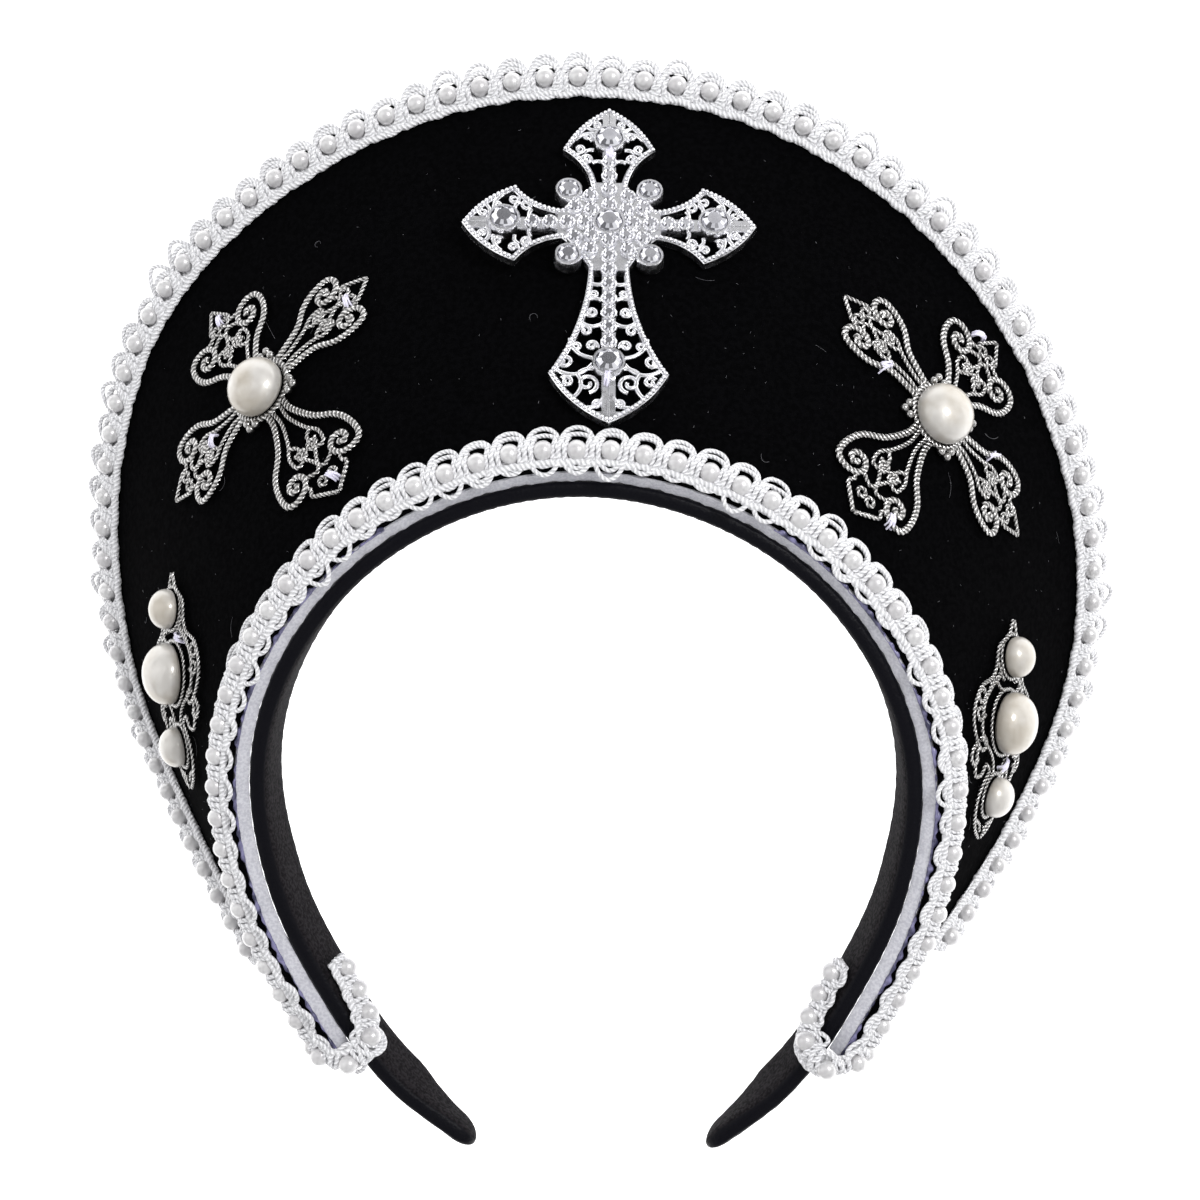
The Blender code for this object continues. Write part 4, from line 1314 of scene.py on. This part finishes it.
    def bowed(self, start: tuple, end: tuple, bow: float, steps: int) -> Array:
        """Points after the start on an arc whose rise is bow times its length.

        Args:
            start: Where it starts.
            end: Where it ends.
            bow: Its rise as a share of its length.
            steps: How many points.

        Returns:
            The points.
        """
        start, end = np.array(start), np.array(end)
        share = np.linspace(0.0, 1.0, steps + 1)[1:, None]
        side = np.array([-(end - start)[1], (end - start)[0]])
        return start + (end - start) * share + side * bow * 4.0 * share * (1.0 - share)

    def outline_and_holes(self) -> tuple[Array, list]:
        """Outline of the whole cross and its open fields.

        Returns:
            The outline, and a list of the fields' outlines.
        """
        outline = []
        fields = []
        for sizes, turn in ((self.short, 0), (self.short, 90), (self.long, 180), (self.short, 270)):
            shoulder = np.array([[-6.6, 6.6]])
            outline.append(flat_turn(np.concatenate([self.arm(sizes), shoulder]), turn))
            field = self.field(sizes)
            fields.append(flat_turn(field, turn))
            fields.append(flat_turn(field * (-1.0, 1.0), turn)[::-1])
        return np.concatenate(outline), fields

    def inset(self, loop: Array, amount: float) -> Array:
        """A closed loop moved square to itself, inwards for a loop that turns left.

        Args:
            loop: Points of the loop.
            amount: How far it moves.

        Returns:
            The moved points.
        """
        ahead = unit(np.roll(loop, -1, 0) - loop)
        behind = unit(loop - np.roll(loop, 1, 0))
        tangent = unit(ahead + behind)
        normal = np.stack([-tangent[:, 1], tangent[:, 0]], -1)
        area = 0.5 * np.sum(loop[:, 0] * np.roll(loop[:, 1], -1) - np.roll(loop[:, 0], -1) * loop[:, 1])
        return loop + normal * amount * np.sign(area)

    def plate(self, seat: Seat) -> Shape:
        """The pierced plate: flat faces cut by the open fields, straight walls and a bevelled top.

        Args:
            seat: The level frame that it lies on.

        Returns:
            The plate, not yet written as a piece.
        """
        outline, holes = self.outline_and_holes()
        lower = [outline] + holes
        upper = [self.inset(outline, self.bevel)] + [self.inset(hole, -self.bevel * 0.8) for hole in holes]
        triangles = tessellate_polygon([[Vector((x, y, 0.0)) for x, y in loop] for loop in upper])
        flat_low = np.concatenate(lower)
        count = len(flat_low)
        levels = ((flat_low, 0.0), (flat_low, self.thick - self.bevel), (np.concatenate(upper), self.thick))
        rings = [np.column_stack([flat, np.full(count, height)]) for flat, height in levels]
        faces = []
        for a, b, c in triangles:
            faces.append([a, b, c])
            faces.append([c + 2 * count, b + 2 * count, a + 2 * count])
        start = 0
        for loop in lower:
            k = np.arange(len(loop))
            a = start + k
            b = start + (k + 1) % len(loop)
            for level in (0, count):
                walls = np.stack([a, b, b + count, a + count], -1) + level
                faces.extend(walls.tolist())
            start += len(loop)
        shape = Shape.empty()
        shape.add(seat.flat(np.concatenate(rings)), faces)
        return shape

    def stones(self) -> list:
        """Place and radius of each larger stone.

        Returns:
            Across, along and radius of each.
        """
        places = [(0.0, 0.0, 2.7), (0.0, 21.9, 2.7), (-21.7, 0.5, 2.7), (21.7, 0.5, 2.7), (0.0, -35.1, 2.7)]
        corners = [(-8.4, 8.2, 2.1), (8.4, 8.2, 2.1), (-8.4, -8.6, 2.1), (8.4, -8.6, 2.1)]
        return places + corners

    def small_stones(self) -> list:
        """Places of the small stones: the middle cluster and the rows along the arms.

        Returns:
            Across and along of each.
        """
        found = set()
        for x, y in ((0.0, 4.6), (3.6, 3.3), (7.1, 3.9), (3.9, 6.9), (5.0, 0.0)):
            found.update({(x, y), (-x, y), (x, -y), (-x, -y)})
        for reach in (8.6, 12.2, 15.8):
            found.update({(0.0, reach), (reach, 0.0), (-reach, 0.0)})
        found.update((0.0, -reach) for reach in (8.4, 12.0, 15.6, 19.2, 22.8, 26.4, 30.0))
        return sorted((x + 0.0, y + 0.0) for x, y in found)

    def cut_stone(self, shape: Shape, seat: Seat, x: float, y: float, base: float, radius: float) -> None:
        """A round brilliant crown: girdle, a zigzag of facets and a flat table.

        Args:
            shape: The shape that it is added to.
            seat: The level frame that it lies on.
            x: Its place across.
            y: Its place along.
            base: Height of its girdle.
            radius: Its radius.
        """
        turn = np.linspace(0.0, TURN, 16, endpoint=False)
        shares = np.array([0.86, 1.0, 0.86, 0.56])
        heights = base + radius * np.array([-0.35, 0.0, 0.22, 0.42])
        zigzag = np.array([0.0, 0.0, 1.0, 0.0])[:, None] * np.cos(8 * turn)[None, :]
        shares = shares[:, None] + 0.04 * zigzag
        rise = heights[:, None] + radius * 0.07 * zigzag
        grid = np.stack([x + radius * shares * np.cos(turn), y + radius * shares * np.sin(turn), rise], -1)
        shape.add_grid(seat.flat(grid), wrap_columns=True, caps=True)

    def build(self) -> None:
        """Plate with its cups, beaded rim with scrolls and collars, and stones."""
        seat = Seat(*CAST_CROSS_AT, turn=CAST_CROSS_TURN, lift=GAP + 0.25, rock=CAST_CROSS_ROCK)
        silver = CAST_SILVER.material()
        plate = self.plate(seat)
        top = self.thick
        rim = Shape.empty()
        line = self.inset(self.outline_and_holes()[0], 0.55)
        line = evenly(np.concatenate([line, line[:1]]), 1.0)[:-1]
        for x, y in line:
            spot = seat.flat(np.array([x, y, top + 0.05]))
            add_ball(rim, spot, self.bead, seat.up, 8, 5, from_level=-0.4)
        for x, y, radius in self.stones():
            self.add_cup(plate, seat, x, y, radius)
        for x, y in self.small_stones():
            self.add_collar(rim, seat, x, y, self.collar, top)
        for line in self.scrolls():
            line = evenly(np.column_stack([line, np.full(len(line), top - 0.42)]), 0.3)
            add_cord(rim, self.wire, seat.flat(line), seat.up)
        plate.build("cast_cross", silver, "silver", ("cross_body",), sharp=35.0)
        rim.build("cast_cross_rim", silver, "silver")
        crystal = CRYSTAL.material()
        large = Shape.empty()
        for x, y, radius in self.stones():
            self.cut_stone(large, seat, x, y, top + 0.95, radius)
        names = ["centre", "top", "left", "right", "bottom", "corner_a", "corner_b", "corner_c", "corner_d"]
        large.build("large_stones", crystal, "crystal", tuple("stone_" + name for name in names), sharp=8.0)
        small = Shape.empty()
        for x, y in self.small_stones():
            self.cut_stone(small, seat, x, y, top + 0.62, self.small_stone)
        small.build("small_stones", crystal, "crystal", sharp=8.0)

    def add_cup(self, shape: Shape, seat: Seat, x: float, y: float, radius: float) -> None:
        """A round cup: a wall with a rolled lip.

        Args:
            shape: The shape that it is added to.
            seat: The level frame that it lies on.
            x: Its place across.
            y: Its place along.
            radius: Its stone's radius.
        """
        turn = np.linspace(0.0, TURN, 28, endpoint=False)
        inner = radius + 0.05
        outer = radius + 0.75
        radii = np.array([outer, outer, outer - 0.2, inner + 0.15, inner, inner])
        lip = self.thick + self.cup_height
        heights = np.array([0.3, self.thick + 0.85, lip, lip, self.thick + 0.95, 0.3])
        grid = np.stack([x + radii[:, None] * np.cos(turn), y + radii[:, None] * np.sin(turn),
                         heights[:, None] + 0.0 * turn], -1)
        shape.add_grid(seat.flat(grid), wrap_rows=True, wrap_columns=True)

    def add_collar(self, shape: Shape, seat: Seat, x: float, y: float, radius: float, base: float) -> None:
        """A round collar about a small stone: a ring whose lip rises in four claws.

        Args:
            shape: The shape that it is added to.
            seat: The level frame that it lies on.
            x: Its place across.
            y: Its place along.
            radius: Its inner radius.
            base: Height of the plate's face.
        """
        turn = np.linspace(0.0, TURN, 24, endpoint=False)
        claw = 0.16 * np.clip(np.cos(4 * turn), 0.0, 1.0)
        radii = np.array([radius + 0.3, radius + 0.26, radius + 0.05, radius - 0.16, radius - 0.16])
        heights = base + np.array([-0.3, 0.6, 0.84, 0.7, -0.3])
        reach = radii[:, None] - claw * np.array([0.0, 0.0, 1.0, 1.0, 0.0])[:, None]
        lift = heights[:, None] + claw * np.array([0.0, 1.0, 1.0, 1.0, 0.0])[:, None]
        grid = np.stack([x + reach * np.cos(turn), y + reach * np.sin(turn), lift], -1)
        shape.add_grid(seat.flat(grid), wrap_rows=True, wrap_columns=True)


def lay_wire(shape: Shape, seat: Seat, cord: Cord, line: Array, height: float) -> None:
    """Add a wire along a flat line, at a height off the velvet and bent with the board.

    Args:
        shape: The shape that it is added to.
        seat: The level frame that it lies on.
        cord: The wire's section.
        line: Pairs across and along.
        height: Height of its middle.
    """
    flat = evenly(line, 0.36)
    level = np.full((len(flat), 1), height)
    path = seat.draped(np.concatenate([flat, level], 1))
    above = seat.draped(np.concatenate([flat, level + 1.0], 1))
    add_cord(shape, cord, path, unit(above - path))


@dataclass
class Filigree:
    """A stamped filigree cross of roped wires with spiral lobes, a ring boss and a half pearl."""

    side: Side

    # Each arm: degrees, tip, lobes' place along and reach across, and whether its end is square
    arms: tuple = ((10.0, 32.0, 24.0, 7.9, False), (95.0, 29.0, 20.5, 11.2, False),
                   (180.0, 32.0, 23.0, 9.0, False), (278.0, 38.0, 28.5, 10.8, True))
    boss: float = 6.9
    pearl: float = 6.5
    pearl_height: float = 6.4
    slimmed: float = 0.9
    arch_share: float = 0.72
    wire: Cord = Cord(radius=0.82, pitch=2.1, depth=0.1, sides=8, flat=0.55)
    fine: Cord = Cord(radius=0.52, pitch=2.1, depth=0.1, sides=7, flat=0.7)

    def arm_wires(self, tip: float, lobe: float, wide: float, square: bool) -> list:
        """Centre lines of one arm's wires along Y, as pairs of points and whether they are stout.

        Args:
            tip: Where the arm ends.
            lobe: Where its lobes are.
            wide: How far its lobes reach.
            square: Whether its end is square.

        Returns:
            Pairs of a line and whether it is stout.
        """
        outer = [(2.4, self.boss), (2.7, 0.38 * lobe), (0.5 * wide, 0.60 * lobe), (0.86 * wide, 0.76 * lobe),
                 (wide, 0.92 * lobe), (0.97 * wide, lobe + 1.6), (0.76 * wide, lobe + 2.8),
                 (0.50 * wide, lobe + 2.0), (0.38 * wide, lobe - 0.4), (0.50 * wide, lobe - 2.5),
                 (0.70 * wide, lobe - 2.3), (0.76 * wide, lobe - 0.6), (0.64 * wide, lobe + 0.2),
                 (0.57 * wide, lobe - 0.9)]
        inner = [(1.2, self.boss), (1.0, 0.42 * lobe), (0.24 * wide, 0.62 * lobe),
                 (0.40 * wide, 0.74 * lobe),
                 (0.36 * wide, 0.86 * lobe), (0.16 * wide, 0.84 * lobe), (0.14 * wide, 0.72 * lobe),
                 (0.30 * wide, 0.66 * lobe)]
        cross = [(0.40 * wide, lobe - 0.4), (0.9, lobe + 1.0), (-0.8, lobe - 2.6),
                 (-0.28 * wide, 0.76 * lobe)]
        kite = [(0.46 * wide, lobe + 1.9), (2.9, lobe + 2.6), (3.0, tip - 4.6), (0.1, tip)]
        if square:
            kite = [(0.46 * wide, lobe + 1.9), (4.4, lobe + 3.4), (4.9, tip - 4.4), (0.1, tip)]
        wires = [(spline(outer, 8), True), (spline(inner, 8), False), (spline(cross, 8), False)]
        corner = 2 if square else 1
        straight = np.concatenate([spline(kite[:corner + 2], 5), np.linspace(kite[-2], kite[-1], 8)[1:]])
        wires.append((straight, False))
        ring = np.linspace(0.0, TURN, 17)
        wires.append((np.stack([1.35 + 0.95 * np.cos(ring), tip - 5.4 + 1.0 * np.sin(ring)], -1), False))
        wires.append((np.stack([1.5 + 1.1 * np.cos(ring), 0.80 * lobe + 1.2 * np.sin(ring)], -1), False))
        return wires

    def build(self, silver: bpy.types.Material, ivory: bpy.types.Material) -> None:
        """Lay the wires on the board, with the boss, the bead clusters and the half pearl.

        Args:
            silver: The wires' material.
            ivory: The half pearl's material.
        """
        seat = Seat(*FILIGREE_AT[self.side], mirrored=self.side is Side.RIGHT, lift=0.55)
        shape = Shape.empty()
        for turn, tip, lobe, wide, square in self.arms:
            for line, stout in self.arm_wires(tip, lobe, wide, square):
                for way in (1.0, -1.0):
                    self.lay(shape, seat, flat_turn(line * (way, 1.0), turn - 90.0), stout)
            for spread in (-1, 0, 1):
                angle = math.radians(turn + 45.0 + spread * 9.5)
                reach = self.boss + (2.0 if spread == 0 else 1.0)
                spot = np.array([[reach * math.cos(angle), reach * math.sin(angle), 0.7]])
                add_ball(shape, seat.draped(spot)[0], 0.95, seat.up, 10, 7)
        ring = np.linspace(0.0, TURN, 90)
        self.lay(shape, seat, np.stack([self.boss * np.cos(ring), self.boss * np.sin(ring)], -1), True)
        name = self.side.name.lower()
        shape.build("filigree_" + name, silver, "aged_silver", ("filigree_cross_" + name,), sharp=80.0)
        node = "cross_pearl_" + name
        add_half_pearl("cabochon_" + name, seat, self.pearl, self.pearl_height, ivory, node)

    def lay(self, shape: Shape, seat: Seat, line: Array, stout: bool) -> None:
        """Add a wire; those of the right cross are drawn closer along the hood's level.

        Args:
            shape: The shape that it is added to.
            seat: The level frame that it lies on.
            line: Pairs across and along.
            stout: Whether the wire is a stout one.
        """
        if self.side is Side.RIGHT:
            level = 90.0 + abs(FILIGREE_AT[self.side][0]) * self.arch_share
            line = flat_turn(flat_turn(line, -level) * (self.slimmed, 1.0), level)
        if stout:
            lay_wire(shape, seat, self.wire, line, 0.55)
        else:
            lay_wire(shape, seat, self.fine, line, 0.5)


def add_half_pearl(name: str, seat: Seat, radius: float, height: float, finish: bpy.types.Material,
                   node: str) -> None:
    """A half pearl: a dome whose lower edge turns in to its flat back.

    Args:
        name: The piece's name.
        seat: The place it is glued to.
        radius: Its radius in millimetres.
        height: Its height above its back.
        finish: Its material.
        node: The node that it stands for.
    """
    shape = Shape.empty()
    lift = np.linspace(-0.25, QUARTER, 16)
    turn = np.linspace(0.0, TURN, 40, endpoint=False)
    ring = np.maximum(np.cos(lift), 0.015)[:, None] * radius
    rise = (1.1 + (np.sin(lift) + 0.25) / 1.25 * height)[:, None] + 0.0 * turn
    grid = np.stack([ring * np.cos(turn), ring * np.sin(turn), rise], -1)
    shape.add_grid(seat.flat(grid), wrap_columns=True, caps=True)
    shape.build(name, finish, "pearl", (node,), sharp=80.0)


@dataclass
class SidePin:
    """A filigree pin lying along the board with three half pearls."""

    side: Side
    turn: float = 22.0
    pearls: tuple = (("upper", 13.9, 4.3, 4.3), ("middle", 0.2, 6.6, 6.0), ("lower", -15.2, 4.3, 4.3))
    wire: Cord = Cord(radius=0.48, pitch=2.1, depth=0.12, sides=7, flat=0.8)
    inward: float = 1.35

    def wires(self) -> list:
        """Half of the pin's wires, as along and across: the outer line and its scrolls.

        Returns:
            Lines of pairs along and across.
        """
        outer = [(21.5, 0.2), (17.8, 1.6), (15.4, 4.2), (11.0, 4.9), (8.6, 6.2), (6.4, 9.4), (2.6, 11.2),
                 (-1.0, 11.4), (-4.6, 9.8), (-6.4, 7.4), (-4.8, 6.2), (-3.4, 7.6), (-4.4, 8.6)]
        lower = [(-5.4, 9.0), (-9.0, 9.4), (-11.8, 8.6), (-11.4, 6.4), (-9.2, 5.2), (-10.4, 3.4),
                 (-13.0, 4.6),
                 (-16.4, 5.6), (-20.0, 5.0), (-22.6, 3.2), (-24.2, 0.6)]
        scroll = [(8.4, 5.6), (5.0, 7.4), (3.2, 9.4), (5.0, 10.2), (6.0, 8.6), (4.6, 8.2)]
        spur = [(0.8, 7.6), (-0.4, 9.4), (1.4, 10.4), (2.2, 9.0)]
        tail = [(-20.6, 4.4), (-21.4, 2.0), (-22.8, 1.0)]
        inner = [(12.4, 4.6), (9.8, 3.4), (7.6, 5.4), (3.6, 8.0), (-0.8, 8.5), (-4.2, 7.4), (-6.2, 4.4),
                 (-8.6, 2.4), (-11.4, 1.6)]
        link = [(7.0, 0.6), (6.8, 3.0), (8.4, 4.6), (9.8, 3.6), (8.8, 2.2)]
        hook = [(-5.0, 9.6), (-7.4, 11.2), (-9.4, 10.4), (-8.8, 8.8), (-7.4, 9.4)]
        return [spline(points, 8) for points in (outer, lower, scroll, spur, tail, inner, link, hook)]

    def build(self, silver: bpy.types.Material, ivory: bpy.types.Material) -> None:
        """Lay the wires and set the half pearls.

        Args:
            silver: The wires' material.
            ivory: The half pearls' material.
        """
        seat = Seat(*PIN_AT[self.side], turn=self.turn, mirrored=self.side is Side.RIGHT, lift=0.55)
        shape = Shape.empty()
        lines = [line * (1.0, way) for line in self.wires() for way in (1.0, -self.inward)]
        ring = np.linspace(0.0, TURN, 60)
        for _, along, radius, _ in self.pearls:
            rim = radius + 0.35
            lines.append(np.stack([along + rim * np.cos(ring), rim * np.sin(ring)], -1))
        for line in lines:
            lay_wire(shape, seat, self.wire, line, 0.5)
        name = self.side.name.lower()
        shape.build("pin_" + name, silver, "aged_silver", ("side_pin_" + name,), sharp=80.0)
        for word, along, radius, height in self.pearls:
            tail = name + "_" + word
            add_half_pearl("pin_cabochon_" + tail, seat.at(along, 0.0), radius, height, ivory,
                           "pin_pearl_" + tail)


@dataclass
class Lint:
    """Stray fibres and specks lying on the velvet."""

    fibres: int = 240
    widest: float = 112.0
    inner: float = 12.0
    margins: float = 22.0
    long_share: float = 0.12
    seed: int = 21

    def build(self) -> None:
        """Short bent threads at random places of the board's front."""
        rng = np.random.default_rng(self.seed)
        shape = Shape.empty()
        thread = Cord(radius=0.04, pitch=3.0, depth=0.0, sides=3)
        for _ in range(self.fibres):
            angle = rng.uniform(-self.widest, self.widest)
            run = self.inner + rng.uniform(0.0, 1.0) * (float(board_width(angle)) - self.margins)
            long_fibre = rng.uniform() < self.long_share
            length = rng.uniform(2.0, 6.0) if long_fibre else rng.uniform(0.12, 0.6)
            heading = rng.uniform(0.0, TURN)
            bend = rng.normal(0.0, 2.0 if long_fibre else 0.8)
            share = np.linspace(0.0, 1.0, 7)
            facing = heading + bend * share
            step = length / 6.0
            x = np.concatenate([[0.0], np.cumsum(np.cos(facing[:-1]) * step)])
            y = np.concatenate([[0.0], np.cumsum(np.sin(facing[:-1]) * step)])
            path = board_point(angle + x * 0.6, run + y, VELVET_FACE + 0.08 + 0.15 * share * rng.uniform())
            above = board_point(angle + x * 0.6, run + y, VELVET_FACE + 1.0)
            add_cord(shape, thread, path, unit(above - path))
        shape.build("velvet_lint", LINT.material(), "velvet")


@dataclass
class Stitches:
    """White threads that sew the crosses and pins to the board."""

    left_cross: tuple = ((-1.7, 25.1), (25.4, 3.4), (-16.0, 0.7), (5.4, -32.8))
    right_cross: tuple = ((-3.0, 24.6), (15.1, 5.1), (-15.3, -0.3), (4.1, -29.8))
    cast_cross: tuple = ((0.0, 18.4), (0.0, -38.6))
    left_pin: tuple = ((8.4, -0.6),)
    right_pin: tuple = ((8.9, 0.1),)
    strands: int = 8
    half: float = 1.5
    seed: int = 33

    def build(self) -> None:
        """A few short threads over the metal at each place."""
        rng = np.random.default_rng(self.seed)
        shape = Shape.empty()
        thread = Cord(radius=0.22, pitch=0.9, depth=0.2, sides=6)
        sewn = (
            (Seat(*FILIGREE_AT[Side.LEFT]), self.left_cross),
            (Seat(*FILIGREE_AT[Side.RIGHT]), self.right_cross),
            (Seat(*CAST_CROSS_AT, turn=CAST_CROSS_TURN, lift=2.4, rock=CAST_CROSS_ROCK), self.cast_cross),
            (Seat(*PIN_AT[Side.LEFT]), self.left_pin),
            (Seat(*PIN_AT[Side.RIGHT]), self.right_pin),
        )
        places = [(seat, spot) for seat, spots in sewn for spot in spots]
        for seat, (x, y) in places:
            heading = rng.uniform(0.0, math.pi)
            for _ in range(self.strands):
                aim = heading + rng.normal(0.0, 0.16)
                shift = rng.normal(0.0, 0.35, 2)
                share = np.linspace(-1.0, 1.0, 9)
                arch = self.half * (1.0 - share ** 2) ** 0.4
                line = np.stack([x + shift[0] + self.half * share * math.cos(aim),
                                 y + shift[1] + self.half * share * math.sin(aim), arch], -1)
                add_cord(shape, thread, seat.draped(line), seat.up)
        shape.build("sewing_stitches", THREAD.material(), "braid")


@dataclass
class Studio:
    """Pale floor, soft lights and the camera at the picture's angle."""

    eye: tuple = (46.8, 185.3, 611.8)
    target: tuple = (4.0, 32.7, 0.0)
    roll: float = -0.9
    lens: float = 94.74
    floor_glow: float = 0.95
    floor_half: float = 6.0
    sky_glow: float = 1.25
    cloud_scale: float = 2.6
    cloud_edges: tuple = (0.43, 0.56)
    cloud_dark: tuple = (0.08, 0.08, 0.085, 1.0)

    # Each softbox: its place, what it faces, its width and its power
    softboxes: tuple = (((0.54, 0.46, 0.78), (0, 0, 0.03), 0.34, 6.5),
                        ((-1.1, 0.5, 1.0), (0, 0, 0.03), 1.4, 5.5))

    def build(self) -> None:
        """Make the floor, the world, the lights and the camera."""
        self.floor()
        self.sky()
        self.lights()
        scene = bpy.context.scene
        scene.view_settings.view_transform = "Standard"
        scene.camera = self.camera()

    def floor(self) -> None:
        """A wide pale square with a little glow of its own."""
        mesh = bpy.data.meshes.new("floor")
        half = self.floor_half
        corners = [(-half, -half, 0), (half, -half, 0), (half, half, 0), (-half, half, 0)]
        mesh.from_pydata(corners, [], [(0, 1, 2, 3)])
        floor = bpy.data.objects.new("floor", mesh)
        pale = FLOOR.material()
        shader = pale.node_tree.nodes["Principled BSDF"]
        shader.inputs["Emission Color"].default_value = (1.0, 1.0, 1.0, 1.0)
        shader.inputs["Emission Strength"].default_value = self.floor_glow
        mesh.materials.append(pale)
        bpy.context.scene.collection.objects.link(floor)

    def sky(self) -> None:
        """A bright world whose soft dark clouds show as shapes in what is polished."""
        world = bpy.data.worlds.new("studio")
        world.use_nodes = True
        nodes = world.node_tree.nodes
        place = nodes.new("ShaderNodeTexCoord")
        cloud = nodes.new("ShaderNodeTexNoise")
        cloud.inputs["Scale"].default_value = self.cloud_scale
        cloud.inputs["Detail"].default_value = 1.0
        ramp = nodes.new("ShaderNodeValToRGB")
        ramp.color_ramp.elements[0].position = self.cloud_edges[0]
        ramp.color_ramp.elements[0].color = self.cloud_dark
        ramp.color_ramp.elements[1].position = self.cloud_edges[1]
        link = world.node_tree.links.new
        link(place.outputs["Generated"], cloud.inputs["Vector"])
        link(cloud.outputs["Fac"], ramp.inputs["Fac"])
        link(ramp.outputs["Color"], nodes["Background"].inputs["Color"])
        nodes["Background"].inputs["Strength"].default_value = self.sky_glow
        bpy.context.scene.world = world

    def lights(self) -> None:
        """Area lights, each turned to face its aim."""
        for place, aim, size, power in self.softboxes:
            light = bpy.data.lights.new("softbox", "AREA")
            light.size = size
            light.energy = power
            lamp = bpy.data.objects.new("softbox", light)
            lamp.location = place
            lamp.rotation_euler = (Vector(aim) - Vector(place)).to_track_quat("-Z", "Y").to_euler()
            bpy.context.scene.collection.objects.link(lamp)

    def camera(self) -> bpy.types.Object:
        """The camera, level with the arch's up direction but for a small roll.

        Returns:
            The camera's object.
        """
        eye = to_world(np.array(self.eye))
        target = to_world(np.array(self.target))
        arch = HOOD_TURN @ np.array([0.0, 1.0, 0.0])
        back = unit(eye - target)
        right = unit(np.cross(arch, back))
        over = np.cross(back, right)
        roll = math.radians(self.roll)
        aside = right * math.cos(roll) + over * math.sin(roll)
        over = np.cross(back, aside)
        lens = bpy.data.cameras.new("camera")
        lens.lens = self.lens
        lens.sensor_width = 36.0
        lens.clip_start = 0.01
        made = bpy.data.objects.new("camera", lens)
        turn = Matrix(np.stack([aside, over, back], -1).tolist()).to_4x4()
        made.matrix_world = Matrix.Translation(Vector(eye)) @ turn
        bpy.context.scene.collection.objects.link(made)
        return made


def main() -> None:
    """Build every piece in order."""
    FoamBoard().build()
    GlueLine().build()
    VelvetCover().build()
    Headband().build()
    Trims().build()
    CastCross().build()
    silver = AGED_SILVER.material()
    ivory = IVORY.material()
    for side in Side:
        Filigree(side).build(silver, ivory)
    for side in Side:
        SidePin(side).build(silver, ivory)
    Stitches().build()
    Lint().build()
    Studio().build()


if __name__ == "__main__":
    logging.basicConfig(level=logging.INFO, format="%(message)s")
    main()
